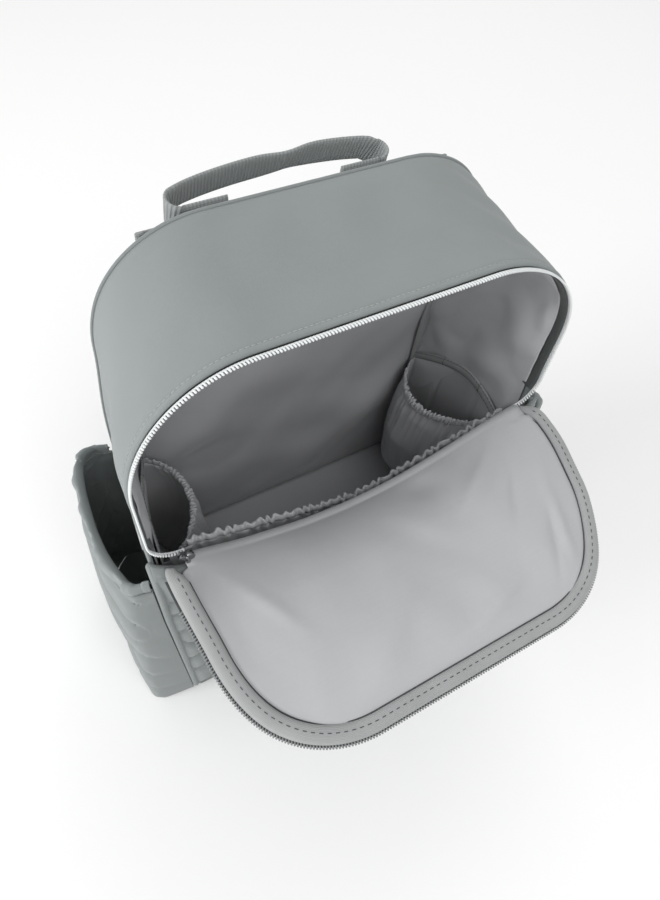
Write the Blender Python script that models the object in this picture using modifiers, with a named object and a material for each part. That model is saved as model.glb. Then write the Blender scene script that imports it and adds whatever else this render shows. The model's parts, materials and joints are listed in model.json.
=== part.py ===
"""Diaper backpack with an unzipped fold-down front, gathered inner pockets and quilted side pockets.

Metres, +Z up.  The bag stands on z = 0 with its opening towards -Y.  The flap lies open.
"""
import math

import bpy
from mathutils import Matrix, Vector

# Driving dimensions of the body
BASE_FRONT_HALF_WIDTH = 0.157
BASE_BACK_HALF_WIDTH = 0.151
BASE_HALF_DEPTH = 0.0774
FRONT_HALF_WIDTH = 0.161
FRONT_HEIGHT = 0.3763
BACK_HALF_WIDTH = 0.149
BACK_HEIGHT = 0.400
SHOULDER_Z = 0.150
CORNER_RADIUS = 0.0833
FRONT_LEAN = 0.0545
BACK_LEAN = 0.1135

# Cloth thicknesses and the gap left between neighbours
GAP = 0.0003
BASE_THICK = 0.0035
SHELL_THICK = 0.003
LINING_THICK = 0.001
PANEL_THICK = 0.006
BOARD_THICK = 0.002
PAD_NEAR = 0.0031
PAD_FAR = 0.0111
TAPE_THICK = 0.0008
WEBBING_THICK = 0.0018

# Zip and flap
TEETH_RADIUS = 0.0012
TEETH_INSET = 0.0015
ZIP_CORNER_RADIUS = 0.022
ZIP_LOW_Z = 0.2265
PANEL_TOP_Z = 0.2205
HINGE_Y = -0.072
HINGE_Z = 0.228
FLAP_DROOP = math.radians(14.3)
FLAP_LENGTH = 0.150
FLAP_HALF_WIDTH = 0.154
FLAP_NEAR = 0.009
BINDING_WIDTH = 0.010
FLAP_TEETH_OUT = 0.0018
FLAP_TEETH_SKIP = 5
PULL_LOW_Z = 0.2015
PULL_HALF_WIDTH = 0.0028
PULL_THICK = 0.0016
SLIDER_HALF_X = 0.0055
SLIDER_HALF_Z = 0.0042
SLIDER_THICK = 0.0050

# Back pad and yoke
PAD_HALF_WIDTH = 0.132
PAD_TOP_Z = 0.352
PAD_RADIUS = 0.05
YOKE_LOW_Z = 0.356
YOKE_INSET = 0.006

# Pockets
POCKET_THICK = 0.005
POCKET_TOP_Z = 0.196
POCKET_HEM = 0.013
INNER_LOW_Z = 0.0085
INNER_LIP_Z = 0.1635
LIP_THICK = 0.003
FRONT_LIP_Z = 0.198
FRONT_LIP_SAG = 0.026

# Webbing handle and shoulder straps
HANDLE_WIDTH = 0.020
HANDLE_LEFT = -0.0775
HANDLE_RIGHT = 0.0520
HANDLE_BEND = 0.0065
HANDLE_Z = 0.388
HANDLE_FAR_Z = 0.3935
HANDLE_FAR_LEAN = math.radians(22)
YOKE_TOP = 0.0049
STRAP_WEBBING = 0.022
STRAP_BOW = 0.028
STRAP_PAD_HALF = 0.0265
STRAP_PAD_THICK = 0.010
STRAP_PAD_START = 0.103
STRAP_PAD_END = 0.66
BUCKLE_END = 0.70
BUCKLE_THICK = 0.004
STRAP_TOP = Vector((0.094, 0.0503, 0.372))
STRAP_BOTTOM = Vector((0.128, 0.0891, 0.030))

SIDES = (("left", -1), ("right", 1))
WALL_LEVELS = 5

COLOURS = {
    "shell": ((0.28, 0.30, 0.295), 0.75, 0.0),
    "quilt": ((0.25, 0.275, 0.27), 0.70, 0.0),
    "lining": ((0.36, 0.36, 0.375), 0.45, 0.0),
    "binding": ((0.42, 0.43, 0.435), 0.70, 0.0),
    "webbing": ((0.27, 0.29, 0.29), 0.80, 0.0),
    "tape": ((0.09, 0.095, 0.095), 0.80, 0.0),
    "teeth": ((0.78, 0.79, 0.79), 0.35, 0.0),
    "metal": ((0.62, 0.62, 0.63), 0.30, 1.0),
    "plastic": ((0.16, 0.17, 0.17), 0.45, 0.0),
    "board": ((0.10, 0.10, 0.10), 0.60, 0.0),
    "mesh": ((0.20, 0.21, 0.21), 0.90, 0.0),
}


def front_y(z):
    """Front plane of the body, which leans back slightly."""
    return -BASE_HALF_DEPTH + FRONT_LEAN * z


def back_y(z):
    """Back plane of the body, which leans forward."""
    return BASE_HALF_DEPTH - BACK_LEAN * z


def side_x(share, z):
    """Half width at height z, with share 0 at the front rim and 1 at the back."""
    climb = min(z / SHOULDER_Z, 1.0)
    front = BASE_FRONT_HALF_WIDTH + (FRONT_HALF_WIDTH - BASE_FRONT_HALF_WIDTH) * climb
    back = BASE_BACK_HALF_WIDTH + (BACK_HALF_WIDTH - BASE_BACK_HALF_WIDTH) * climb
    return front + (back - front) * share


def share_of(y, z):
    """How far a depth lies from the front rim to the back, 0 to 1."""
    return (y - front_y(z)) / (back_y(z) - front_y(z))


def depth_at(share, z):
    """Depth (y) at a share of the way from the front rim to the back."""
    return front_y(z) + (back_y(z) - front_y(z)) * share


def wall_x(y, z, inset):
    """Half width of the side wall at a place, moved in by inset."""
    return side_x(share_of(y, z), z) - inset


def arc(cx, cy, radius, start, end, steps):
    """Points of an arc, angles in degrees."""
    angles = [math.radians(start + (end - start) * i / steps) for i in range(steps + 1)]
    return [(cx + radius * math.cos(a), cy + radius * math.sin(a)) for a in angles]


def arch(share, low, inset=0.0, top_drop=0.0):
    """Arch outline (x, z) of the body at a share of its depth, from low left over to low right."""
    height = FRONT_HEIGHT + (BACK_HEIGHT - FRONT_HEIGHT) * share - inset - top_drop
    radius = CORNER_RADIUS - inset
    half = side_x(share, height) - inset
    levels = [z for z in (low, 0.05, 0.10, SHOULDER_Z, 0.225) if z >= low]
    left = [(-(side_x(share, z) - inset), z) for z in levels]
    left += arc(-half + radius, height - radius, radius, 180, 90, 7)
    left.append((-0.03, height))
    return left + [(-x, z) for x, z in reversed(left)]


def rounded_outline(half, near, far, near_radius, far_radius):
    """Flap outline (x, y) from the left hinge corner round the far edge to the right one."""
    left = arc(-half + near_radius, -near - near_radius, near_radius, 90, 180, 5)
    left += arc(-half + far_radius, -far + far_radius, far_radius, 180, 270, 8)
    return left + [(-x, y) for x, y in reversed(left)]


def material(slot):
    """Principled material of a slot."""
    found = bpy.data.materials.get(slot)
    if found:
        return found
    colour, roughness, metallic = COLOURS[slot]
    made = bpy.data.materials.new(slot)
    made.use_nodes = True
    shader = made.node_tree.nodes["Principled BSDF"]
    shader.inputs["Base Color"].default_value = (*colour, 1.0)
    shader.inputs["Roughness"].default_value = roughness
    shader.inputs["Metallic"].default_value = metallic
    return made


def add(name, data, slot, parent=None, matrix=None):
    """Put an object in the bag's collection with its material and parent."""
    data.materials.append(material(slot))
    made = bpy.data.objects.new(name, data)
    bpy.data.collections["diaper_bag"].objects.link(made)
    made.parent = parent
    if matrix is not None:
        made.matrix_local = matrix
    return made


def pivot(name, location, tilt=0.0):
    """Empty on a joint's axis, which carries the pieces that move with it."""
    made = bpy.data.objects.new(name, None)
    made.location = location
    made.rotation_euler = (tilt, 0.0, 0.0)
    made.empty_display_size = 0.02
    bpy.data.collections["diaper_bag"].objects.link(made)
    return made


def sheet(name, rows, thickness, slot, offset=0.0, parent=None):
    """Cloth made from rows of points, thickened by Solidify."""
    origin = parent.location if parent and parent.rotation_euler.x == 0.0 else Vector((0, 0, 0))
    count = len(rows[0])
    verts = [Vector(p) - origin for row in rows for p in row]
    faces = []
    for r in range(len(rows) - 1):
        for c in range(count - 1):
            a = r * count + c
            faces.append((a, a + 1, a + count + 1, a + count))
    mesh = bpy.data.meshes.new(name)
    mesh.from_pydata(verts, [], faces)
    mesh.shade_smooth()
    mesh.set_sharp_from_angle(angle=math.radians(40))
    made = add(name, mesh, slot, parent)
    solid = made.modifiers.new("thickness", "SOLIDIFY")
    solid.thickness = thickness
    solid.offset = offset
    solid.use_even_offset = True
    return made


def plate(name, outline, thickness, slot, matrix, parent=None):
    """Flat piece: a filled 2D outline, extruded both ways."""
    curve = bpy.data.curves.new(name, "CURVE")
    curve.dimensions = "2D"
    curve.fill_mode = "BOTH"
    curve.extrude = thickness / 2
    spline = curve.splines.new("POLY")
    spline.points.add(len(outline) - 1)
    for point, (x, y) in zip(spline.points, outline):
        point.co = (x, y, 0.0, 1.0)
    spline.use_cyclic_u = True
    return add(name, curve, slot, parent, matrix)


def tube(name, points, radius, slot, parent=None):
    """Thin round piece along a path."""
    curve = bpy.data.curves.new(name, "CURVE")
    curve.dimensions = "3D"
    curve.bevel_depth = radius
    curve.bevel_resolution = 1
    curve.use_fill_caps = True
    spline = curve.splines.new("POLY")
    spline.points.add(len(points) - 1)
    for point, place in zip(spline.points, points):
        point.co = (*place, 1.0)
    return add(name, curve, slot, parent)


def leaning(outline, base_y, slope, depth):
    """Turn an (x, z) outline and a leaning plane into a plate's own outline and matrix.

    Depth is how far in front of the plane the middle of the plate lies.
    """
    lean = math.atan(slope)
    turn = Matrix.Rotation(math.pi / 2 + lean, 4, "X")
    shift = turn @ Vector((0, 0, depth))
    flat = [(x, z / math.cos(lean)) for x, z in outline]
    return flat, Matrix.Translation(Vector((0, base_y, 0)) + shift) @ turn


def back_plate(name, outline, near, far, slot):
    """Plate parallel to the back plane, between two distances behind it."""
    flat, matrix = leaning(outline, BASE_HALF_DEPTH, BACK_LEAN, -(near + far) / 2)
    return plate(name, flat, far - near, slot, matrix)


def front_plate(name, outline, near, far, slot):
    """Plate parallel to the front plane, between two distances in front of it."""
    flat, matrix = leaning(outline, -BASE_HALF_DEPTH, -FRONT_LEAN, (near + far) / 2)
    return plate(name, flat, far - near, slot, matrix)


def rectangle(x0, x1, y0, y1):
    """Corners of a rectangle."""
    return [(x0, y0), (x1, y0), (x1, y1), (x0, y1)]


def band_rows(inset, start, end, low=BASE_THICK + GAP):
    """Four arches of the body between two shares of its depth, moved in by inset."""
    shares = [start + (end - start) * i / 3 for i in range(4)]
    return [[(x, depth_at(share, z), z) for x, z in arch(share, low, inset)] for share in shares]


def gusset():
    """Outer band round the body: two side panels and the arched top between them."""
    rows = band_rows(0.0, 0.003, 0.997)
    corner = WALL_LEVELS + 1
    sheet("gusset_side_left", [row[:corner] for row in rows], SHELL_THICK, "shell", -1.0)
    sheet("gusset_side_right", [row[-corner:] for row in rows], SHELL_THICK, "shell", -1.0)
    top = []
    for row in rows:
        ends = [Vector(row[i]).lerp(Vector(row[j]), 1.5 * GAP / (Vector(row[j]) - Vector(row[i])).length)
                for i, j in ((corner - 1, corner), (-corner, -corner - 1))]
        top.append([ends[0]] + row[corner:-corner] + [ends[1]])
    sheet("gusset_top", top, SHELL_THICK, "shell", -1.0)


def base_outline(inset, front, back):
    """Outline (x, y) of the base, slightly wider at the front."""
    corners = [(wall_x(y, 0.0, inset), y) for y in (-front, back)]
    return corners + [(-x, y) for x, y in reversed(corners)]


def base():
    """Base panel, its stiffener and the lining over it."""
    inset = SHELL_THICK + LINING_THICK + 4 * GAP
    depth = BASE_HALF_DEPTH - LINING_THICK - 3 * GAP
    board_z = BASE_THICK + GAP
    plate("base_panel", base_outline(0.0, 0.0835, 0.0885), BASE_THICK, "shell",
          Matrix.Translation((0, 0, BASE_THICK / 2)))
    plate("base_board", base_outline(inset, depth, depth), BOARD_THICK, "board",
          Matrix.Translation((0, 0, board_z + BOARD_THICK / 2)))
    plate("base_lining", base_outline(inset, depth, depth), LINING_THICK, "lining",
          Matrix.Translation((0, 0, board_z + BOARD_THICK + GAP + LINING_THICK / 2)))


def shell():
    """Linings, back and lower front."""
    lining_inset = SHELL_THICK + 2 * GAP
    sheet("gusset_lining", band_rows(lining_inset, 0.128, 0.975), LINING_THICK, "lining", -1.0)

    low = BASE_THICK + GAP
    back_plate("back_shell", arch(1.0, low, 0.0, 0.003), GAP, 0.0028, "shell")
    back_plate("back_pad", pad_outline(), PAD_NEAR, PAD_FAR, "mesh")
    back_plate("back_yoke", yoke_outline(), PAD_NEAR, YOKE_TOP - GAP, "shell")
    back_plate("back_lining", arch(1.0, 0.0075, 0.0048), -0.0013, -GAP, "lining")

    front_plate("front_panel_lower", lower_front_outline(), GAP, PANEL_THICK, "quilt")
    inner = BASE_FRONT_HALF_WIDTH - SHELL_THICK - LINING_THICK - 5 * GAP
    front_plate("front_lining_lower", rectangle(-inner, inner, 0.0075, PANEL_TOP_Z), -0.0013, -GAP, "lining")


def pad_outline():
    """Padded back area, a rectangle with rounded upper corners."""
    corner = (-PAD_HALF_WIDTH + PAD_RADIUS, PAD_TOP_Z - PAD_RADIUS)
    left = [(-PAD_HALF_WIDTH, 0.014)] + arc(*corner, PAD_RADIUS, 180, 90, 6)
    return left + [(-x, z) for x, z in reversed(left)]


def yoke_outline():
    """Reinforcement across the top of the back, which follows its rounded corners."""
    radius = CORNER_RADIUS - YOKE_INSET
    centre_x = BACK_HALF_WIDTH - CORNER_RADIUS
    centre_z = BACK_HEIGHT - CORNER_RADIUS
    start = math.degrees(math.asin((YOKE_LOW_Z - centre_z) / radius))
    right = arc(centre_x, centre_z, radius, start, 90, 5)
    return right + [(-x, z) for x, z in reversed(right)]


def lower_front_outline():
    """Lower front with its two horns under the zip's lower corners."""
    centre_x = FRONT_HALF_WIDTH - TEETH_INSET - ZIP_CORNER_RADIUS
    centre_z = ZIP_LOW_Z + ZIP_CORNER_RADIUS
    radius = centre_z - PANEL_TOP_Z
    reach = FRONT_HALF_WIDTH - centre_x
    horn = math.degrees(math.acos(reach / radius))
    right = [(BASE_FRONT_HALF_WIDTH, BASE_THICK + GAP), (FRONT_HALF_WIDTH, SHOULDER_Z)]
    right += arc(centre_x, centre_z, radius, -horn, -90, 5)
    return right + [(-x, z) for x, z in reversed(right)]


def body_zip():
    """Tape inside the rim and the row of teeth round the opening."""
    inset = SHELL_THICK + GAP
    sheet("zip_tape_body", band_rows(inset, 0.005, 0.120, 0.236), TAPE_THICK, "tape", -1.0)

    half = FRONT_HALF_WIDTH - TEETH_INSET
    centre_x = half - ZIP_CORNER_RADIUS
    centre_z = ZIP_LOW_Z + ZIP_CORNER_RADIUS
    top = FRONT_HEIGHT - TEETH_INSET
    radius = CORNER_RADIUS - TEETH_INSET
    left = arc(-centre_x, centre_z, ZIP_CORNER_RADIUS, 270, 180, 5)
    left += arc(-half + radius, top - radius, radius, 180, 90, 8)
    path = left + [(-x, z) for x, z in reversed(left)]
    lift = TEETH_RADIUS + 0.0006
    tube("zip_teeth_body", [(x, front_y(z) - lift, z) for x, z in path], TEETH_RADIUS, "teeth")


def side_pocket(side, sign):
    """Quilted outer pocket, its floor and the hem round its mouth."""
    rim_z = POCKET_TOP_Z + POCKET_HEM
    mouth = [(0.0018, 0.050), (0.014, 0.056), (0.028, 0.049), (0.031, 0.020), (0.030, -0.015),
             (0.026, -0.040), (0.014, -0.058), (0.0018, -0.063)]
    foot = [(0.0018, 0.068), (0.018, 0.070), (0.030, 0.060), (0.033, 0.025), (0.034, -0.020),
            (0.034, -0.060), (0.030, -0.074), (0.0018, -0.074)]

    def ring(z):
        share = z / rim_z
        places = []
        for (out_m, y_m), (out_f, y_f) in zip(mouth, foot):
            y = y_f + (y_m - y_f) * share
            out = out_f + (out_m - out_f) * share
            places.append((sign * (wall_x(y, z, 0.0) + GAP + out), y, z))
        return places

    outline = [(x, y) for x, y, z in ring(0.0)]
    outline += [(sign * (wall_x(y, 0.0, 0.0) + 2 * GAP), y) for y in (foot[-1][1], foot[0][1])]
    plate("side_pocket_base_" + side, outline, BASE_THICK, "quilt",
          Matrix.Translation((0, 0, BASE_THICK / 2)))
    offset = float(sign)
    levels = [BASE_THICK + 0.0015, 0.07, 0.14, POCKET_TOP_Z]
    sheet("side_pocket_" + side, [ring(z) for z in levels], POCKET_THICK, "quilt", offset)
    rim = [ring(POCKET_TOP_Z + GAP * 2), ring(rim_z)]
    sheet("side_pocket_hem_" + side, rim, POCKET_THICK, "shell", offset)


def inner_pocket(side, sign):
    """Gathered pocket on a side wall with its elastic lip, and the slip pocket behind it."""
    back_share, front_share = 0.94, 0.14
    inset = 0.0085

    def row(z, bulge):
        places = []
        for i in range(9):
            t = i / 8
            y = depth_at(back_share + (front_share - back_share) * t, z)
            x = wall_x(y, z, inset) - bulge * math.sin(math.pi * t) ** 0.6
            places.append((sign * x, y, z))
        return places

    levels = [(INNER_LOW_Z, 0.016), (0.05, 0.032), (0.11, 0.038), (0.150, 0.034), (INNER_LIP_Z - GAP, 0.030)]
    sheet("inner_pocket_" + side, [row(z, b) for z, b in levels], LINING_THICK, "lining")
    lip = [row(INNER_LIP_Z + GAP, 0.030), row(INNER_LIP_Z + INNER_LOW_Z, 0.030)]
    sheet("inner_pocket_elastic_" + side, lip, LIP_THICK, "lining")

    edge = [(0.96, 0.178), (0.80, 0.190), (0.55, 0.198), (0.30, 0.190), (0.14, 0.178)]

    def on_wall(share, z):
        y = depth_at(share, z)
        return (sign * wall_x(y, z, 0.0057), y, z)

    panel = [[on_wall(share, z) for share, _ in edge] for z in (0.008, 0.05, 0.10, SHOULDER_Z)]
    panel.append([on_wall(share, z) for share, z in edge])
    sheet("slip_pocket_" + side, panel, TAPE_THICK, "lining")
    tape = [[on_wall(share, z + dz) for share, z in edge] for dz in (GAP * 2, 0.0106)]
    sheet("slip_pocket_tape_" + side, tape, TAPE_THICK, "binding")

    strip = rectangle(*sorted((sign * 0.128, sign * 0.139)), 0.10, 0.315)
    back_plate("seam_binding_" + side, strip, -0.0026, -0.0016, "binding")


def inner_front_pocket():
    """Full-width gathered pocket just behind the fold, with its elastic lip."""
    spans = [i / 8 for i in range(9)]

    def lip_z(t):
        return FRONT_LIP_Z - FRONT_LIP_SAG * math.sin(math.pi * t)

    def place(t, z):
        half = wall_x(front_y(z) + 0.02, z, 0.0095)
        bulge = 0.006 + 0.010 * math.sin(math.pi * t) ** 0.6
        return ((2 * t - 1) * half, front_y(z) + bulge, z)

    heights = (0.0, 0.5, 1.0)
    rows = [[place(t, INNER_LOW_Z + (lip_z(t) - INNER_LOW_Z) * h) for t in spans] for h in heights]
    sheet("inner_front_pocket", rows, LINING_THICK, "lining")
    lip = [[place(t, lip_z(t) + dz) for t in spans] for dz in (GAP * 2, 0.008)]
    sheet("inner_front_pocket_elastic", lip, LIP_THICK, "lining")


def pipings():
    """Piping down the two front corner seams."""
    for side, sign in SIDES:
        points = [(sign * (side_x(0.0, z) - 0.0015), front_y(z) - PANEL_THICK - 0.0016, z)
                  for z in (0.008, 0.05, 0.10, SHOULDER_Z, POCKET_TOP_Z)]
        tube("corner_piping_" + side, points, 0.0012, "binding")


def flap():
    """Fold-down front: quilted outside, lining, binding, and its half of the zip."""
    hinge = pivot("flap_hinge", (0.0, HINGE_Y, HINGE_Z), FLAP_DROOP)
    far_radius = CORNER_RADIUS

    def outline(inset):
        return rounded_outline(FLAP_HALF_WIDTH - inset, FLAP_NEAR + inset, FLAP_LENGTH - inset,
                               ZIP_CORNER_RADIUS - inset, far_radius - inset)

    def layer(name, inset, low, high, slot):
        plate(name, outline(inset), high - low, slot, Matrix.Translation((0, 0, (low + high) / 2)), hinge)

    layer("flap_shell", 0.0, -0.0008, 0.0022, "quilt")
    layer("flap_lining", BINDING_WIDTH + GAP, 0.0025, 0.0035, "lining")
    rows = [[(x, y, 0.0035) for x, y in outline(inset)] for inset in (0.0, BINDING_WIDTH)]
    sheet("flap_binding", rows, 0.0018, "binding", 0.0, hinge)
    rows = [[(x, y, -0.0015) for x, y in outline(inset)] for inset in (0.0002, 0.007)]
    sheet("zip_tape_flap", rows, TAPE_THICK, "tape", 0.0, hinge)
    run = outline(-FLAP_TEETH_OUT)[FLAP_TEETH_SKIP:-FLAP_TEETH_SKIP]
    tube("zip_teeth_flap", [(x, y, -0.0015) for x, y in run], TEETH_RADIUS, "teeth", hinge)


def handle():
    """Webbing carry handle: two sewn ends that bend off the yoke, and the band between them."""
    yoke_y = back_y(HANDLE_Z) + YOKE_TOP + WEBBING_THICK / 2
    flat = math.atan(BACK_LEAN)

    def ribbon(points):
        """Lower and upper edges of the webbing, from points (x, y, z, lean)."""
        edges = []
        for side in (-1, 1):
            shifts = [Vector((0, -math.sin(p[3]), math.cos(p[3]))) * side * HANDLE_WIDTH / 2 for p in points]
            edges.append([Vector(p[:3]) + shift for p, shift in zip(points, shifts)])
        return edges

    def bend(edge_x, outward, share):
        """Place on a bend, from the yoke (share 0) round to the band (share 1)."""
        turn = math.pi * share
        return (edge_x + outward * HANDLE_BEND * math.sin(turn), yoke_y + HANDLE_BEND * (1 - math.cos(turn)),
                HANDLE_Z + (HANDLE_FAR_Z - HANDLE_Z) * share, flat + (HANDLE_FAR_LEAN - flat) * share)

    steps = 6
    sewn_ends = (("left", -0.050, HANDLE_LEFT, -1), ("right", 0.024, HANDLE_RIGHT, 1))
    for side, inner, edge_x, outward in sewn_ends:
        points = [(inner, yoke_y, HANDLE_Z, flat)]
        points += [bend(edge_x, outward, i / steps) for i in range(steps + 1)]
        sheet("handle_end_" + side, ribbon(points), WEBBING_THICK, "webbing")

    swing = pivot("carry_handle", (0.0, yoke_y + HANDLE_BEND, (HANDLE_Z + HANDLE_FAR_Z) / 2))
    far_y = yoke_y + 2 * HANDLE_BEND
    spans = [HANDLE_LEFT + GAP, (HANDLE_LEFT + HANDLE_RIGHT) / 2, HANDLE_RIGHT - GAP]
    band = [(x, far_y, HANDLE_FAR_Z, HANDLE_FAR_LEAN) for x in spans]
    sheet("handle_loop", ribbon(band), WEBBING_THICK, "webbing", 0.0, swing)


def strap(side, sign):
    """Padded shoulder strap with its webbing, buckle and the two tabs it is sewn to."""
    back_plate("strap_tab_" + side, rectangle(*sorted((sign * 0.083, sign * 0.105)), 0.362, 0.390),
               YOKE_TOP, 0.0070, "webbing")
    back_plate("strap_base_tab_" + side, rectangle(*sorted((sign * 0.116, sign * 0.140)), 0.006, 0.0135),
               0.0031, 0.0075, "webbing")

    top = Vector((sign * STRAP_TOP.x, STRAP_TOP.y, STRAP_TOP.z))
    bottom = Vector((sign * STRAP_BOTTOM.x, STRAP_BOTTOM.y, STRAP_BOTTOM.z))
    swing = pivot("strap_swing_" + side, top)
    lean = math.atan(BACK_LEAN)
    outward = Vector((0, math.cos(lean), math.sin(lean)))
    along = (bottom - top).normalized()
    across = along.cross(outward).normalized()

    def centre(t):
        return top + (bottom - top) * t + outward * STRAP_BOW * math.sin(math.pi * t)

    def rows(start, end, count, half, lift=0.0):
        spans = [start + (end - start) * i / count for i in range(count + 1)]
        middle = [centre(t) + outward * lift for t in spans]
        return [[m + across * half(t) * k for t, m in zip(spans, middle)] for k in (-1, 0, 1)]

    webbing = STRAP_WEBBING / 2
    step = 10 * GAP
    sheet("strap_webbing_upper_" + side, rows(0.0, STRAP_PAD_START - step, 3, lambda t: webbing),
          WEBBING_THICK, "webbing", 0.0, swing)

    def pad_half(t):
        return STRAP_PAD_HALF * min(1.0, 0.5 + (t - 0.10) * 5, 0.55 + (STRAP_PAD_END - t) * 5)

    sheet("strap_pad_" + side, rows(STRAP_PAD_START, STRAP_PAD_END, 10, pad_half), STRAP_PAD_THICK, "quilt",
          0.0, swing)
    sheet("strap_buckle_" + side, rows(STRAP_PAD_END + step, BUCKLE_END, 2, lambda t: webbing + 0.004),
          BUCKLE_THICK, "plastic", 0.0, swing)
    sheet("strap_webbing_lower_" + side, rows(BUCKLE_END + step, 1.0, 6, lambda t: webbing), WEBBING_THICK,
          "webbing", 0.0, swing)


def slider(side, sign):
    """Zip slider parked at its end of the track, with its pull hanging below."""
    centre_x = FRONT_HALF_WIDTH - TEETH_INSET - ZIP_CORNER_RADIUS
    centre_z = ZIP_LOW_Z + ZIP_CORNER_RADIUS
    turn = pivot("zip_turn_" + side, (sign * centre_x, front_y(centre_z) - 0.0045, centre_z))
    x = sign * centre_x
    y = front_y(ZIP_LOW_Z) - TEETH_RADIUS * 2 - 0.0034
    levels = (ZIP_LOW_Z - SLIDER_HALF_Z, ZIP_LOW_Z + SLIDER_HALF_Z)
    rows = [[(x - SLIDER_HALF_X, y, z), (x + SLIDER_HALF_X, y, z)] for z in levels]
    sheet("zip_slider_" + side, rows, SLIDER_THICK, "metal", 0.0, turn)
    high = ZIP_LOW_Z - 0.001
    pull_y = front_y(PULL_LOW_Z) - PANEL_THICK - 0.0018
    hang = pivot("pull_hinge_" + side, (x, pull_y, high))
    rows = [[(x - PULL_HALF_WIDTH, pull_y, z), (x + PULL_HALF_WIDTH, pull_y, z)] for z in (PULL_LOW_Z, high)]
    sheet("zip_pull_" + side, rows, PULL_THICK, "metal", 0.0, hang)


def main():
    """Build the whole bag in a clean scene."""
    for old in list(bpy.data.objects):
        bpy.data.objects.remove(old)
    bag = bpy.data.collections.new("diaper_bag")
    bpy.context.scene.collection.children.link(bag)
    base()
    gusset()
    shell()
    body_zip()
    inner_front_pocket()
    pipings()
    flap()
    handle()
    for side, sign in SIDES:
        side_pocket(side, sign)
        inner_pocket(side, sign)
        strap(side, sign)
        slider(side, sign)


main()
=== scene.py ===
import json
import math

import bmesh
import bpy
import numpy as np
from mathutils import Matrix, Vector, kdtree


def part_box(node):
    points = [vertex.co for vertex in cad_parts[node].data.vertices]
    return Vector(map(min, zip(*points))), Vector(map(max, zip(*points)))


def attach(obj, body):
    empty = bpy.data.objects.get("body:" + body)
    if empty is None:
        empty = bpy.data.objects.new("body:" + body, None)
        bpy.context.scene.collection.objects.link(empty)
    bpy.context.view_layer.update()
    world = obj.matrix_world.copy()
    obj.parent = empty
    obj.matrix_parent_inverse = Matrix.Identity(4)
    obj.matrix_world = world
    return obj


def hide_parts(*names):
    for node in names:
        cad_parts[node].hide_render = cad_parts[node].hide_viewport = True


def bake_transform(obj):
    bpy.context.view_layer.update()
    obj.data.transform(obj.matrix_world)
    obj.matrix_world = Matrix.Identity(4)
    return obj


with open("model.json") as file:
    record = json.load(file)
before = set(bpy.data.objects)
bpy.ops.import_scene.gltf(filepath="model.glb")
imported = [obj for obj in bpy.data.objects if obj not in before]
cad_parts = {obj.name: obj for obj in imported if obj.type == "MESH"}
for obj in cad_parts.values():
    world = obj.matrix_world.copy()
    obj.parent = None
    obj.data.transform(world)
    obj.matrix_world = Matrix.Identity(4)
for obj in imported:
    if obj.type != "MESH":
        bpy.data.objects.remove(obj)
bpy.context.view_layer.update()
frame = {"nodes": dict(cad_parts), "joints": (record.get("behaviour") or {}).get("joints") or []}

# ---------------------------------------------------------------- sizes, from the frame where it has them
SIDE_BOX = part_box("gusset_side_right")
FRONT_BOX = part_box("front_panel_lower")
TEETH_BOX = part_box("zip_teeth_body")
BASE_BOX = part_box("base_panel")
JOINTS = {joint["name"]: joint for joint in frame["joints"]}
HINGE = np.array(JOINTS["flap_fold"]["pos_m"])

RIM_STEP = 0.0005
HALF_DEPTH = SIDE_BOX[1].y + RIM_STEP
FRONT_HALF = FRONT_BOX[1].x
BACK_HALF = SIDE_BOX[0].x + 0.003
FRONT_HEIGHT = TEETH_BOX[1].z + 0.0003
BACK_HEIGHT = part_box("gusset_top")[1].z + 0.0001
BASE_FRONT_HALF = 0.157
BASE_BACK_HALF = 0.151
SHOULDER_Z = 0.150
CORNER_RADIUS = 0.0833
ZIP_RADIUS = 0.022
NEAR_RADIUS = 0.0100
ZIP_INSET = 0.0015
ZIP_LOW_Z = 0.2265
FRONT_LEAN = 0.0545
BACK_LEAN = 0.1135
BACK_ANGLE = math.atan(BACK_LEAN)
BACK_OUT = np.array([0.0, math.cos(BACK_ANGLE), math.sin(BACK_ANGLE)])
BACK_UP = np.array([0.0, -math.sin(BACK_ANGLE), math.cos(BACK_ANGLE)])
FLAP_TILT = math.radians(14.3)
FLAP_LENGTH = 0.150
FLAP_HALF = 0.154
FLAP_OUT = np.array([0.0, -math.cos(FLAP_TILT), -math.sin(FLAP_TILT)])
FLAP_UP = np.array([0.0, -math.sin(FLAP_TILT), math.cos(FLAP_TILT)])
SAG_DEPTH = 0.037
SAG_CENTRE = -0.012
SAG_REACH = 0.150
SIDES = (("left", -1), ("right", 1))
CAMERA_PLACE = (-0.17347, -0.26961, 0.62063)
CAMERA_BACK = (-0.33410, -0.47704, 0.81290)
CAMERA_ROLL = math.radians(7.23)
CAMERA_LENS = 26.147
LIGHT_TARGET = (0, 0, 0.2)
FLOOR_REACH = 6.0


# ---------------------------------------------------------------- camera, lights, floor
def camera():
    """Camera above the left front corner, looking down into the open bag."""
    data = bpy.data.cameras.new("camera")
    data.sensor_width = 36.0
    data.lens = CAMERA_LENS
    data.clip_start = 0.01
    made = bpy.data.objects.new("camera", data)
    made.location = CAMERA_PLACE
    made.rotation_mode = "QUATERNION"
    roll = Matrix.Rotation(CAMERA_ROLL, 3, "Z").to_quaternion()
    made.rotation_quaternion = (-Vector(CAMERA_BACK)).to_track_quat("-Z", "Y") @ roll
    bpy.context.scene.collection.objects.link(made)
    bpy.context.scene.camera = made


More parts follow.
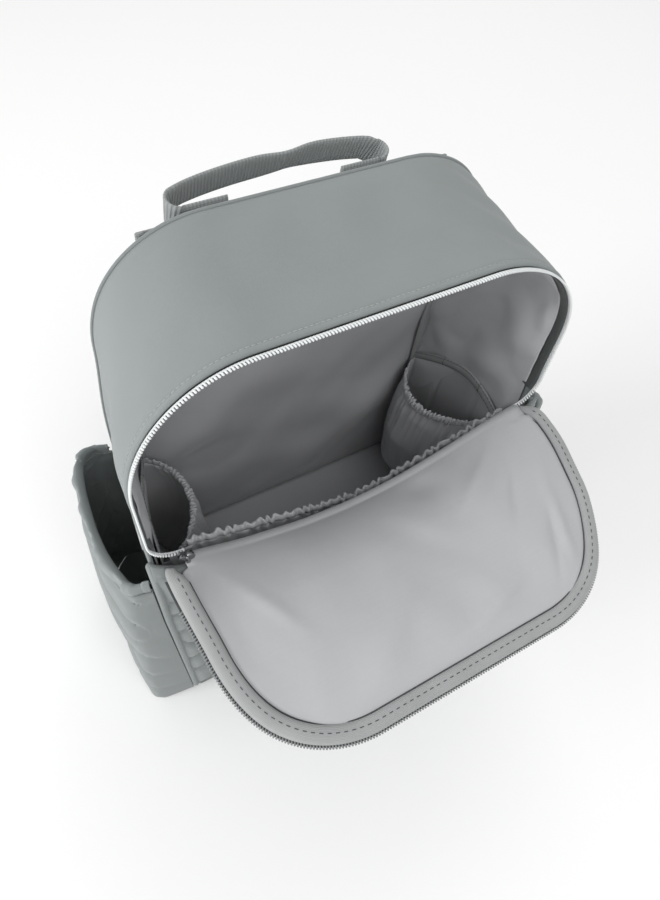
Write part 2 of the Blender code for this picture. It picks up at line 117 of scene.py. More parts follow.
def area_light(name, place, size, watts):
    """Soft square light aimed at the middle of the bag."""
    data = bpy.data.lights.new(name, "AREA")
    data.size = size
    data.energy = watts
    made = bpy.data.objects.new(name, data)
    made.location = place
    made.rotation_mode = "QUATERNION"
    made.rotation_quaternion = (Vector(LIGHT_TARGET) - Vector(place)).to_track_quat("-Z", "Y")
    bpy.context.scene.collection.objects.link(made)


def studio():
    """Pale floor, white surroundings and soft lights."""
    scene = bpy.context.scene
    scene.view_settings.view_transform = "Standard"
    world = bpy.data.worlds.new("studio")
    world.use_nodes = True
    world.node_tree.nodes["Background"].inputs["Color"].default_value = (1, 1, 1, 1)
    world.node_tree.nodes["Background"].inputs["Strength"].default_value = 0.52
    scene.world = world
    area_light("key", (-2.7, 0.16, 1.24), 1.4, 48)
    area_light("front", (0.1, -2.2, 3.2), 2.2, 42)
    area_light("back", (1.4, 1.4, 2.3), 1.9, 14)
    mesh = bpy.data.meshes.new("floor")
    corners = [(x * FLOOR_REACH, y * FLOOR_REACH, 0) for x, y in ((-1, -1), (1, -1), (1, 1), (-1, 1))]
    mesh.from_pydata(corners, [], [(0, 1, 2, 3)])
    floor = bpy.data.objects.new("floor", mesh)
    bpy.context.scene.collection.objects.link(floor)
    made = bpy.data.materials.new("floor")
    made.use_nodes = True
    shader = made.node_tree.nodes["Principled BSDF"]
    shader.inputs["Base Color"].default_value = (0.95, 0.95, 0.95, 1)
    shader.inputs["Roughness"].default_value = 0.9
    shader.inputs["Specular IOR Level"].default_value = 0.1
    shader.inputs["Emission Color"].default_value = (1, 1, 1, 1)
    shader.inputs["Emission Strength"].default_value = 0.05
    mesh.materials.append(made)


# ---------------------------------------------------------------- materials
class Nodes:
    """Short way to write a material's node tree."""

    def __init__(self, name):
        self.material = bpy.data.materials.new(name)
        self.material.use_nodes = True
        self.tree = self.material.node_tree
        self.shader = self.tree.nodes["Principled BSDF"]

    def node(self, kind, settings=(), **inputs):
        """New node, with its settings and its inputs by name."""
        made = self.tree.nodes.new("ShaderNode" + kind)
        for key, value in dict(settings).items():
            setattr(made, key, value)
        for key, value in inputs.items():
            self.feed(made.inputs[key.replace("_", " ")], value)
        return made

    def feed(self, socket, value):
        """Link a socket to another, or set its constant."""
        if isinstance(value, bpy.types.NodeSocket):
            self.tree.links.new(value, socket)
        else:
            socket.default_value = value

    def math(self, operation, *values):
        """Result of a math node."""
        made = self.node("Math", {"operation": operation})
        for socket, value in zip(made.inputs, values):
            self.feed(socket, value)
        return made.outputs[0]

    def mix(self, factor, first, second):
        """Mixed colour, from two colours or sockets."""
        made = self.node("Mix", {"data_type": "RGBA"})
        self.feed(made.inputs["Factor"], factor)
        for socket, value in ((made.inputs[6], first), (made.inputs[7], second)):
            self.feed(socket, value if isinstance(value, bpy.types.NodeSocket) else (*value, 1.0))
        return made.outputs[2]

    def noise(self, vector, scale, detail=3.0, rough=0.5):
        """Noise, 0 to 1."""
        made = self.node("TexNoise", Vector=vector, Scale=scale, Detail=detail, Roughness=rough)
        return made.outputs["Fac"]

    def object_place(self):
        """The object's own coordinates."""
        return self.node("TexCoord").outputs["Object"]

    def cloth_place(self):
        """The cloth's own flat coordinates, in metres."""
        return self.node("Attribute", {"attribute_name": "cloth_place"}).outputs["Vector"]

    def wave(self, coordinate, pitch):
        """Ridges with a pitch in metres, 0 to 1."""
        turn = self.math("MULTIPLY", coordinate, 2 * math.pi / pitch)
        return self.math("MULTIPLY_ADD", self.math("SINE", turn), 0.5, 0.5)

    def bump(self, height, distance, strength, normal=None):
        """Normal bent by a height, on top of another normal."""
        made = self.node("Bump", Strength=strength, Distance=distance, Height=height)
        if normal is not None:
            self.feed(made.inputs["Normal"], normal)
        return made.outputs["Normal"]

    def finish(self, colour, roughness, **constants):
        """Feed the shader and return the material."""
        self.feed(self.shader.inputs["Base Color"], colour)
        self.feed(self.shader.inputs["Roughness"], roughness)
        for key, value in constants.items():
            self.shader.inputs[key.replace("_", " ")].default_value = value
        return self.material


def shade(colour, factor):
    """Darker or lighter tone of a colour."""
    return tuple(c * factor for c in colour)


def woven(name, colour, pitch, depth, rough, sheen, mottle):
    """Woven cloth: crossing threads, a little slub and soft variation in tone."""
    n = Nodes(name)
    split = n.node("SeparateXYZ", Vector=n.cloth_place())
    threads = n.math("MULTIPLY", n.wave(split.outputs[0], pitch), n.wave(split.outputs[1], pitch))
    place = n.object_place()
    cloud = n.noise(place, 9.0, 4.0)
    grain = n.noise(place, 900.0, 2.0)
    slub = n.noise(n.node("Mapping", Vector=n.cloth_place(), Scale=(60.0, 900.0, 1.0)).outputs[0], 1.0, 2.0)
    light = n.math("ADD", n.math("MULTIPLY", cloud, 0.7), n.math("MULTIPLY", grain, 0.3))
    tone = n.mix(light, shade(colour, 1.0 - mottle), shade(colour, 1.0 + mottle))
    # painted highlight: the crests of the threads are lightened as if they caught the light
    tone = n.mix(n.math("MULTIPLY", threads, 0.22), tone, shade(colour, 1.25))
    height = n.math("ADD", threads, n.math("MULTIPLY", slub, 0.5))
    n.feed(n.shader.inputs["Normal"], n.bump(height, depth, 0.7))
    roughness = n.math("MULTIPLY_ADD", cloud, 0.12, rough - 0.06)
    return n.finish(tone, roughness, Sheen_Weight=sheen, Sheen_Roughness=0.45)


def ribbed(name, colour, pitch, depth, rough, across=True):
    """Narrow ribbed weave: grosgrain, webbing, zip tape and knitted elastic."""
    n = Nodes(name)
    split = n.node("SeparateXYZ", Vector=n.cloth_place())
    along, over = (split.outputs[0], split.outputs[1]) if across else (split.outputs[1], split.outputs[0])
    ribs = n.wave(along, pitch)
    picks = n.wave(over, pitch * 0.7)
    cloud = n.noise(n.object_place(), 40.0, 4.0)
    height = n.math("MULTIPLY_ADD", picks, 0.35, ribs)
    tone = n.mix(cloud, shade(colour, 0.92), shade(colour, 1.08))
    # painted shade: the grooves between the ribs are darkened
    tone = n.mix(n.math("MULTIPLY", n.math("SUBTRACT", 1.0, ribs), 0.45), tone, shade(colour, 0.62))
    n.feed(n.shader.inputs["Normal"], n.bump(height, depth, 0.8))
    return n.finish(tone, n.math("MULTIPLY_ADD", cloud, 0.1, rough - 0.05), Sheen_Weight=0.15)


def satin(name, colour, rough=0.42):
    """Lining cloth: fine, slightly glossy, with faint streaks along the thread."""
    n = Nodes(name)
    flat = n.cloth_place()
    split = n.node("SeparateXYZ", Vector=flat)
    threads = n.math("MULTIPLY", n.wave(split.outputs[0], 0.00042), n.wave(split.outputs[1], 0.00042))
    place = n.object_place()
    cloud = n.noise(place, 7.0, 3.0)
    streak = n.noise(n.node("Mapping", Vector=flat, Scale=(30.0, 700.0, 1.0)).outputs[0], 1.0, 3.0)
    crumple = n.noise(place, 36.0, 3.0, 0.55)
    light = n.math("MULTIPLY_ADD", streak, 0.4, n.math("MULTIPLY", cloud, 0.6))
    tone = n.mix(light, shade(colour, 0.93), shade(colour, 1.07))
    soft = n.bump(crumple, 0.0011, 0.45)
    n.feed(n.shader.inputs["Normal"], n.bump(threads, 0.00006, 0.5, soft))
    roughness = n.math("MULTIPLY_ADD", streak, 0.14, rough - 0.07)
    return n.finish(tone, roughness, Sheen_Weight=0.25, Sheen_Roughness=0.35, Specular_IOR_Level=0.45)


def air_mesh(name, colour):
    """Knitted spacer mesh: staggered small holes, darkened inside them as painted shade."""
    n = Nodes(name)
    cells = n.node("TexVoronoi", {"feature": "F1"}, Vector=n.cloth_place(), Scale=420.0, Randomness=0.0)
    hole = n.math("LESS_THAN", cells.outputs["Distance"], 0.30)
    cloud = n.noise(n.object_place(), 18.0, 3.0)
    tone = n.mix(cloud, shade(colour, 0.9), shade(colour, 1.1))
    # painted shade: the holes are darkened for the shade down inside them
    tone = n.mix(hole, tone, shade(colour, 0.25))
    n.feed(n.shader.inputs["Normal"], n.bump(n.math("MINIMUM", cells.outputs["Distance"], 0.45), 0.0006, 0.9))
    return n.finish(tone, 0.9, Sheen_Weight=0.2)


def moulded(name, colour, rough, metallic=0.0, coat=0.0):
    """Moulded plastic or cast metal: fine grain, a few faint scuffs in the roughness, and sharp edges lightened as a
    painted highlight.
    """
    n = Nodes(name)
    place = n.object_place()
    fine = n.noise(place, 2600.0, 2.0)
    scuff = n.noise(n.node("Mapping", Vector=place, Scale=(300.0, 40.0, 300.0)).outputs[0], 1.0, 4.0)
    cloud = n.noise(place, 30.0, 3.0)
    tone = n.mix(cloud, shade(colour, 0.92), shade(colour, 1.06))
    # painted highlight: sharp edges (high pointiness) are lightened as if they caught the light
    point = n.node("NewGeometry").outputs["Pointiness"]
    edge = n.math("MULTIPLY", n.math("MAXIMUM", n.math("SUBTRACT", point, 0.53), 0.0), 6.0)
    tone = n.mix(n.math("MINIMUM", edge, 0.5), tone, shade(colour, 1.5))
    n.feed(n.shader.inputs["Normal"], n.bump(fine, 0.00004, 0.4))
    roughness = n.math("MULTIPLY_ADD", scuff, 0.2, rough - 0.08)
    return n.finish(tone, roughness, Metallic=metallic, Coat_Weight=coat, Coat_Roughness=0.2)


def thread_cloth(name, colour):
    """Twisted sewing thread."""
    n = Nodes(name)
    twist = n.noise(n.object_place(), 1800.0, 1.0)
    tone = n.mix(twist, shade(colour, 0.75), shade(colour, 1.15))
    n.feed(n.shader.inputs["Normal"], n.bump(twist, 0.0001, 0.5))
    return n.finish(tone, 0.6, Sheen_Weight=0.1)


SHELL = (0.262, 0.288, 0.287)
LINING = (0.485, 0.492, 0.505)


def materials():
    """Every material, by a plain name."""
    return {
        "shell": woven("shell_cloth", SHELL, 0.0007, 0.00016, 0.78, 0.25, 0.07),
        "quilt": woven("quilted_cloth", (0.240, 0.264, 0.263), 0.0007, 0.00016, 0.72, 0.25, 0.07),
        "lining": satin("lining_satin", LINING),
        # painted shade: the lining darkened for the slip pockets, which sit in the shade inside the side walls
        "shaded_lining": satin("pocket_satin_painted_shade", shade(LINING, 0.86)),
        "binding": ribbed("binding_grosgrain", (0.44, 0.45, 0.452), 0.0009, 0.00025, 0.75),
        "inner_tape": ribbed("inner_tape", (0.37, 0.38, 0.385), 0.0010, 0.00025, 0.75),
        "webbing": ribbed("webbing", (0.34, 0.36, 0.358), 0.0022, 0.0006, 0.8, across=False),
        "tape": ribbed("zip_tape", (0.070, 0.078, 0.077), 0.0008, 0.0002, 0.8),
        "elastic": satin("elastic_satin", shade(LINING, 1.02), 0.5),
        "teeth": moulded("zip_coil", (0.66, 0.68, 0.68), 0.30, 0.0, 0.3),
        # painted shade: the flap's half of the zip coil, darkened for the shade under the flap's edge
        "shaded_teeth": moulded("flap_coil_painted_shade", (0.20, 0.21, 0.21), 0.35, 0.0, 0.3),
        "metal": moulded("cast_metal", (0.24, 0.245, 0.25), 0.38, 1.0),
        "plastic": moulded("buckle_plastic", (0.14, 0.15, 0.15), 0.45, 0.0, 0.1),
        "board": moulded("board", (0.10, 0.10, 0.10), 0.6),
        "mesh": air_mesh("air_mesh", (0.20, 0.215, 0.215)),
        "thread": thread_cloth("thread", (0.42, 0.44, 0.437)),
        # dark thread for stitching, also used for the cord of painted shade along the flap's seam
        "dark_thread_and_seam_shade": thread_cloth("dark_thread_and_seam_shade", (0.06, 0.06, 0.065)),
    }


# ---------------------------------------------------------------- mesh helpers
def waves(points, scale, seed, count=7):
    """Smooth pseudo-random height, about -1 to 1, at points, with features of the given size."""
    rng = np.random.default_rng(seed)
    total = np.zeros(points.shape[:-1])
    for _ in range(count):
        direction = rng.normal(size=3)
        direction *= 2 * math.pi / (scale * rng.uniform(0.7, 1.6)) / np.linalg.norm(direction)
        total += np.sin(points @ direction + rng.uniform(0, 2 * math.pi))
    return total / math.sqrt(count)


def smooth(value, low, high):
    """Smooth step from 0 at low to 1 at high."""
    t = np.clip((value - low) / (high - low), 0, 1)
    return t * t * (3 - 2 * t)


def bell(value, centre, width):
    """Bump of height 1 round a centre."""
    return np.exp(-((value - centre) / width) ** 2)


def unit(vectors):
    """The same directions with length 1."""
    return vectors / np.maximum(np.linalg.norm(vectors, axis=-1, keepdims=True), 1e-12)


def joined(*parts):
    """Points from coordinates that broadcast together."""
    return np.stack(np.broadcast_arrays(*parts), axis=-1)


def axes_of(points):
    """The x, y and z of an array of points."""
    return points[..., 0], points[..., 1], points[..., 2]


def normals(points):
    """Unit normals of a grid of points (rows, columns, 3)."""
    return unit(np.cross(np.gradient(points, axis=0), np.gradient(points, axis=1)))


def flat_place(points):
    """Flat cloth coordinates of a grid, from the lengths along its rows and columns."""
    over = np.linalg.norm(np.diff(points, axis=1), axis=2)
    down = np.linalg.norm(np.diff(points, axis=0), axis=2)
    place = np.zeros(points.shape)
    place[:, 1:, 0] = np.cumsum(over, axis=1)
    place[:, :, 0] -= place[:, -1:, 0] / 2
    place[1:, :, 1] = np.cumsum(down.mean(axis=1))[:, None]
    return place


def link(name, mesh, look):
    """Object for a finished mesh, with its material."""
    made = bpy.data.objects.new(name, mesh)
    bpy.context.scene.collection.objects.link(made)
    mesh.materials.append(LOOKS[look])
    return made


def set_place(mesh, place):
    """Store a mesh's flat cloth coordinates, which the cloth looks read."""
    layer = mesh.attributes.new("cloth_place", "FLOAT_VECTOR", "POINT")
    layer.data.foreach_set("vector", np.asarray(place, np.float32).ravel())


def skin(name, points, faces, look):
    """Smooth mesh over a grid of points, with its flat cloth coordinates."""
    mesh = bpy.data.meshes.new(name)
    mesh.from_pydata(points.reshape(-1, 3).tolist(), [], faces)
    mesh.shade_smooth()
    set_place(mesh, flat_place(points))
    return link(name, mesh, look)


def cloth(name, points, look, thickness, offset=0.0):
    """Sheet of cloth from a grid of points, thickened: offset 1 grows it outwards and -1 inwards."""
    rows, columns = points.shape[:2]
    index = np.arange(rows * columns).reshape(rows, columns)
    quads = np.stack([index[:-1, :-1], index[:-1, 1:], index[1:, 1:], index[1:, :-1]], axis=-1).reshape(-1, 4)
    made = skin(name, points, quads.tolist(), look)
    modifier = made.modifiers.new("thickness", "SOLIDIFY")
    modifier.thickness = thickness
    modifier.offset = offset
    return made


def frames(path, up):
    """Unit tangents, sideways and upward directions along a path; up is one vector or one for each point."""
    tangent = unit(np.gradient(path, axis=0))
    side = unit(np.cross(tangent, np.broadcast_to(np.asarray(up, float), path.shape)))
    return tangent, side, np.cross(side, tangent)


def sweep(path, section, up):
    """Grid of a section (side, up) carried along a path."""
    _, side, over = frames(path, up)
    section = np.asarray(section, float)
    return path[:, None] + side[:, None] * section[None, :, :1] + over[:, None] * section[None, :, 1:]


def round_section(radius, sides=8, flat=1.0):
    """Round section of a rod, flattened by a factor."""
    angle = np.linspace(0, 2 * math.pi, sides, endpoint=False)
    return np.stack([np.cos(angle) * radius, np.sin(angle) * radius * flat], axis=1)


def rod(name, path, section, look, up=(0, 0, 1)):
    """Closed solid: a section carried along a path, with rounded ends."""
    points = sweep(path, section, up)
    count, sides = points.shape[:2]
    tangent = frames(path, up)[0]
    reach = np.abs(section).max(axis=0).min()
    start = points[0] * 0.6 + path[0] * 0.4 - tangent[0] * reach * 0.5
    end = points[-1] * 0.6 + path[-1] * 0.4 + tangent[-1] * reach * 0.5
    points = np.concatenate([start[None], points, end[None]])
    index = np.arange((count + 2) * sides).reshape(count + 2, sides)
    after = np.roll(index, -1, axis=1)
    faces = np.stack([index[:-1], index[1:], after[1:], after[:-1]], axis=-1).reshape(-1, 4).tolist()
    faces += [index[0].tolist(), index[-1][::-1].tolist()]
    return skin(name, points, faces, look)


def capsule(length, radius, sides=6, flat=1.0):
    """Template of a rounded pin along X: vertices and faces."""
    angle = np.linspace(0, 2 * math.pi, sides, endpoint=False)
    half = length / 2
    rings = [(-half, 0.45), (-half + radius * 0.6, 1.0), (half - radius * 0.6, 1.0), (half, 0.45)]
    verts = np.array([(x, math.cos(a) * radius * r, math.sin(a) * radius * r * flat)
                      for x, r in rings for a in angle])
    faces = []
    for ring in range(len(rings) - 1):
        for i in range(sides):
            a, b = ring * sides + i, ring * sides + (i + 1) % sides
            faces.append((a, b, b + sides, a + sides))
    last = (len(rings) - 1) * sides
    faces += [tuple(range(sides))[::-1], tuple(range(last, last + sides))]
    return verts, faces


def copies(name, template, origins, axes, look):
    """One mesh of many copies of a template; axes holds each copy's X, Y and Z directions."""
    verts, faces = template
    placed = np.einsum("vk,nkj->nvj", verts, axes) + origins[:, None]
    count = len(verts)
    every = [tuple(i + count * n for i in face) for n in range(len(origins)) for face in faces]
    mesh = bpy.data.meshes.new(name)
    mesh.from_pydata(placed.reshape(-1, 3).tolist(), [], every)
    mesh.shade_smooth()
    return link(name, mesh, look)


def resample(path, step):
    """Points a step apart along a path."""
    length = np.concatenate([[0], np.cumsum(np.linalg.norm(np.diff(path, axis=0), axis=1))])
    count = max(2, int(round(length[-1] / step)) + 1)
    wanted = np.linspace(0, length[-1], count)
    return np.stack([np.interp(wanted, length, path[:, k]) for k in range(3)], axis=1)


def stitches(name, path, up, look="thread", pitch=0.0034, length=0.0024, radius=0.00028):
    """Row of stitches along a path; up points away from the cloth, one vector or one for each path point."""
    fine = resample(path, pitch)
    if np.ndim(up) == 2:
        nearest = np.linspace(0, len(path) - 1, len(fine)).round().astype(int)
        up = np.asarray(up)[nearest]
    tangent, side, over = frames(fine, up)
    axes = np.stack([tangent, side, over], axis=1)
    return copies(name, capsule(length, radius), fine + over * radius * 0.6, axes, look)


def belongs(made, body, slot, *nodes):
    """Ride on a body and stand for CAD nodes, which it hides; slot is not used."""
    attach(made, body)
    if nodes:
        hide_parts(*nodes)
    return made


def crosses(made, slot, *nodes):
    """Cloth across the flap's fold: bakes its modifiers and transform into its mesh and hides the CAD nodes it stands
    for; slot is not used.
    """
    bake(made)
    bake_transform(made)
    if nodes:
        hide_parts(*nodes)


def bake(made):
    """Make an object's modifiers part of its mesh."""
    graph = bpy.context.evaluated_depsgraph_get()
    mesh = bpy.data.meshes.new_from_object(made.evaluated_get(graph), depsgraph=graph)
    made.modifiers.clear()
    made.data = mesh


def face_towards(made, direction):
    """Turn an open sheet's faces towards a direction."""
    total = np.zeros(3)
    for face in made.data.polygons:
        total += np.array(face.normal) * face.area
    if np.dot(total, direction) < 0:
        made.data.flip_normals()


# ---------------------------------------------------------------- the body's form
def front_y(z):
    """The leaning front plane."""
    return -HALF_DEPTH + FRONT_LEAN * z


def back_y(z):
    """The leaning back plane."""
    return HALF_DEPTH - BACK_LEAN * z


def half_x(share, z):
    """Half width at height z, share 0 at the front rim and 1 at the back."""
    climb = np.minimum(np.asarray(z) / SHOULDER_Z, 1.0)
    front = BASE_FRONT_HALF + (FRONT_HALF - BASE_FRONT_HALF) * climb
    back = BASE_BACK_HALF + (BACK_HALF - BASE_BACK_HALF) * climb
    return front + (back - front) * share


def depth_at(share, z):
    """The y at a share of the way from the front to the back."""
    return front_y(z) + (back_y(z) - front_y(z)) * share


def share_at(y, z):
    """Share of the way from the front to the back: the other way round from depth_at."""
    return (y - front_y(z)) / (back_y(z) - front_y(z))


def wall_x(y, z, inset=0.0):
    """Half width of the side wall, moved in by an inset."""
    return half_x(share_at(y, z), z) - inset


def slouch(points):
    """Soft lean of the empty bag: the back left corner sinks in and the right of the rim flares out."""
    x, y, z = axes_of(points)
    share = share_at(y, z)
    moved = points.copy()
    moved[..., 0] += 0.0070 * smooth(share, 0.1, 1.0) * bell(z, 0.325, 0.060) * smooth(-x, 0.05, 0.13)
    moved[..., 0] += 0.0050 * (1 - smooth(share, 0.0, 0.6)) * bell(z, 0.318, 0.052) * smooth(x, 0.08, 0.14)
    return moved


WALL_SHARE = 0.29
ARC_SHARE = 0.42


def arch(t, share, low, inset):
    """Points on the body's band: t runs from low left over the top to low right, share from rim to back."""
    t, share = np.broadcast_arrays(np.asarray(t, float), np.asarray(share, float))
    near = np.minimum(t, 1 - t)
    sign = np.where(t < 0.5, -1.0, 1.0)
    height = FRONT_HEIGHT + (BACK_HEIGHT - FRONT_HEIGHT) * share - inset
    radius = CORNER_RADIUS - inset
    half = half_x(share, height) - inset
    wall_z = low + (height - radius - low) * np.clip(near / WALL_SHARE, 0, 1)
    angle = np.clip((near - WALL_SHARE) / (ARC_SHARE - WALL_SHARE), 0, 1) * math.pi / 2
    flat = 1 - np.clip((near - ARC_SHARE) / (0.5 - ARC_SHARE), 0, 1)
    on_wall, on_arc = near < WALL_SHARE, near < ARC_SHARE
    x = np.where(on_wall, half_x(share, wall_z) - inset,
                 np.where(on_arc, half - radius + radius * np.cos(angle), (half - radius) * flat))
    z = np.where(on_wall, wall_z, np.where(on_arc, height - radius + radius * np.sin(angle), height))
    return slouch(np.stack([sign * x, depth_at(share, z), z], axis=-1))


def zip_path(inset, forward, step=0.002):
    """Open path of the zip round the opening, moved in from the rim and forward of it."""
    half, top = FRONT_HALF - inset, FRONT_HEIGHT - inset
    radius = CORNER_RADIUS - inset
    low_x, low_z = FRONT_HALF - ZIP_INSET - ZIP_RADIUS, ZIP_LOW_Z + ZIP_RADIUS
    low_radius = half - low_x
    turn = np.linspace(-math.pi / 2, 0, 24)
    right = [np.stack([low_x + low_radius * np.cos(turn), low_z + low_radius * np.sin(turn)], axis=1)]
    turn = np.linspace(0, math.pi / 2, 60)
    right.append(np.stack([half - radius + radius * np.cos(turn), top - radius + radius * np.sin(turn)], axis=1))
    right = np.concatenate(right)
    flat = np.concatenate([right * [-1, 1], right[::-1]])
    path = np.stack([flat[:, 0], front_y(flat[:, 1]) - forward, flat[:, 1]], axis=1)
    return resample(slouch(path), step)


def outward_of(path):
    """Directions away from the opening's middle, in the front plane, square to the path."""
    forward = np.array([0.0, -1.0, FRONT_LEAN])
    out = unit(np.cross(unit(np.gradient(path, axis=0)), forward))
    middle = np.array([0.0, front_y(0.3), 0.3])
    flip = np.sign(np.einsum("ij,ij->i", out, path - middle))
    return out * flip[:, None]


# ---------------------------------------------------------------- outer band
STITCH_BACK = 0.0058
BAND_DEPTH = 0.125


def gusset():
    """Cloth band over the sides and top, with topstitching beside the zip."""
    t = np.linspace(0, 1, 301)[None, :]
    rim = np.array([0.0, 0.0007, 0.0016, 0.003, 0.0042, 0.0050, 0.0058, 0.0066, 0.0075, 0.010, 0.014]) / BAND_DEPTH
    share = np.concatenate([rim + 0.003, np.linspace(0.15, 0.997, 36)])[:, None]
    points = arch(t, share, SIDE_BOX[0].z, 0.0)
    out = normals(points)
    out *= np.sign(out[20, 150, 2])
    behind = (share - 0.003) * BAND_DEPTH
    x, y, z = axes_of(points)
    top = smooth(z, 0.24, 0.34)
    fade = smooth(share, 0.02, 0.2) * smooth(1.0 - share, 0.0, 0.12) * smooth(z, 0.0, 0.05)
    dents = 0.0010 * waves(points, 0.11, 3) + 0.0005 * waves(points, 0.045, 4)
    corner = bell(x, 0.105, 0.040) * bell(z, 0.375, 0.03)
    crease = corner * np.sin((x * 0.8 + y * 1.1) * 2 * math.pi / 0.030) * 0.0009
    droop = -0.0035 * bell(x, 0.0, 0.09) * top * smooth(share, 0.05, 0.4) * smooth(1 - share, 0.0, 0.5)
    pull = -0.0012 * bell(share, 0.45, 0.35) * (1 - top) * smooth(z, 0.02, 0.1)
    groove = -0.0005 * bell(behind, STITCH_BACK, 0.0008)
    roll = -0.0016 * (1 - smooth(behind, 0.0, 0.0022)) ** 2
    pucker = 0.00022 * bell(behind, 0.0035, 0.003) * waves(points, 0.012, 5)
    lift = (dents + crease) * fade + droop + pull * fade + groove + roll + pucker
    points = points + out * lift[..., None]
    made = cloth("gusset", points, "shell", 0.0022, -1.0)
    face_towards(made, (0, 0, 1))
    belongs(made, "bag_body", "shell", "gusset_side_left", "gusset_side_right", "gusset_top")
    row = int(np.argmin(np.abs(behind[:, 0] - STITCH_BACK)))
    above = points[row, :, 2] > ZIP_LOW_Z + 0.004
    belongs(stitches("gusset_stitches", points[row][above], out[row][above]), "bag_body", "shell")
    edge = points[-1] + out[-1] * 0.0002 + np.array([0, 0.0012, 0])
    made = rod("back_edge_piping", resample(edge, 0.004), round_section(0.0011, 8), "shell", (0, 1, 0))
    belongs(made, "bag_body", "shell")


# ---------------------------------------------------------------- zip
TOOTH_PITCH = 0.00205
TOOTH_RADIUS = 0.00072
TOOTH_FLAT = 1.15
TOOTH_LEAN = 0.22


def zip_coil():
    """Zip tape inside the rim, the coil's teeth and the cord they are sewn on."""
    path = zip_path(0.0036, 0.0, 0.003)
    path = path[path[:, 2] > ZIP_LOW_Z + 0.012]
    back = np.array([0.0, 0.0095, 0.0])
    out = outward_of(path)
    rows = [path + out * 0.0004 + np.array([0, -0.0006, 0])]
    rows += [path + back * f - out * 0.0003 * math.sin(math.pi * f) for f in (0.2, 0.5, 0.8, 1.0)]
    made = cloth("zip_tape", np.stack(rows), "tape", 0.0007)
    belongs(made, "bag_body", "tape", "zip_tape_body")
    path = zip_path(ZIP_INSET + 0.0004, 0.0019, TOOTH_PITCH)
    tangent = unit(np.gradient(path, axis=0))
    out = outward_of(path)
    forward = np.cross(tangent, out)
    forward *= np.sign(-forward[:, 1:2])
    lean = unit(forward + tangent * TOOTH_LEAN)
    axes = np.stack([lean, np.cross(out, lean), out], axis=1)
    made = copies("zip_teeth", capsule(0.0036, TOOTH_RADIUS, 6, TOOTH_FLAT), path, axes, "teeth")
    belongs(made, "bag_body", "teeth", "zip_teeth_body")
    core = zip_path(ZIP_INSET + 0.0004, 0.0008, 0.003)
    belongs(rod("zip_core", core, round_section(0.00062, 6), "teeth"), "bag_body", "teeth")


def slider(side):
    """Cast slider with its bridge, and its ribbed pull."""
    low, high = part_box("zip_slider_" + side)
    centre = (low + high) / 2
    half = (high - low) / 2
    right = [(0.3, -1), (0.82, -0.75), (1, -0.15), (0.95, 0.55), (0.62, 1), (0.25, 0.82)]
    left = [(-x, z) for x, z in right[::-1]]
    outline = left[3:] + right + [(0, 0.55)] + left[:3]
    levels = [(-1.0, 0.86), (-0.86, 1.0), (-0.30, 1.0), (-0.22, 0.80), (0.22, 0.80), (0.30, 1.0), (0.86, 1.0),
              (1.0, 0.86)]
    rings = [[(centre.x + x * half.x * r, centre.y + d * half.y, centre.z + z * half.z * r) for x, z in outline]
             for d, r in levels]
    body = closed_loft("slider_body_" + side, np.array(rings), "metal")
    turn = np.linspace(0, math.pi, 9)
    bridge = np.stack([np.full(9, centre.x), low.y - 0.0012 * np.sin(turn) + 0.0002,
                       centre.z - np.cos(turn) * half.z * 0.62], axis=1)
    bridge = rod("slider_bridge_" + side, bridge, round_section(0.0010, 8), "metal", (1, 0, 0))
    belongs(body, "slider_" + side, "metal", "zip_slider_" + side)
    belongs(bridge, "slider_" + side, "metal")
    low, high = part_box("zip_pull_" + side)
    x, y = (low.x + high.x) / 2, (low.y + high.y) / 2
    share = np.linspace(0, 1, 15)
    width = 0.0016 + 0.0014 * smooth(share, 0.1, 0.5) + 0.0001 * np.cos(share * 2 * math.pi * 7)
    width *= np.sqrt(np.clip(1 - ((share - 0.9) / 0.1).clip(0) ** 2 * 0.7, 0, 1))
    z = high.z - (high.z - low.z) * share
    thick = 0.00075 - 0.00012 * np.cos(share * 2 * math.pi * 7) * smooth(share, 0.3, 0.5)
    angle = np.linspace(0, 2 * math.pi, 12, endpoint=False)
    cos, sin = np.cos(angle), np.sin(angle)
    box = np.maximum(np.abs(cos), np.abs(sin)) ** 0.7
    rings = np.stack([x + width[:, None] * cos / box, y + thick[:, None] * sin / box,
                      np.broadcast_to(z[:, None], (15, 12))], axis=-1)
    belongs(closed_loft("slider_pull_" + side, rings, "metal"), "pull_" + side, "metal", "zip_pull_" + side)


def closed_loft(name, rings, look):
    """Closed solid through rings of points."""
    count, sides = rings.shape[:2]
    index = np.arange(count * sides).reshape(count, sides)
    after = np.roll(index, -1, axis=1)
    faces = np.stack([index[:-1], after[:-1], after[1:], index[1:]], axis=-1).reshape(-1, 4).tolist()
    faces += [index[0][::-1].tolist(), index[-1].tolist()]
    mesh = bpy.data.meshes.new(name)
    mesh.from_pydata(rings.reshape(-1, 3).tolist(), [], faces)
    outward(mesh)
    mesh.shade_smooth()
    mesh.set_sharp_from_angle(angle=math.radians(45))
    set_place(mesh, flat_place(rings))
    return link(name, mesh, look)


def outward(mesh):
    """Face a closed mesh's polygons outwards."""
    work = bmesh.new()
    work.from_mesh(mesh)
    bmesh.ops.recalc_face_normals(work, faces=work.faces)
    work.to_mesh(mesh)
    work.free()


# ---------------------------------------------------------------- linings
LINING_LOW_Z = 0.0075
LINING_THICK = 0.0006


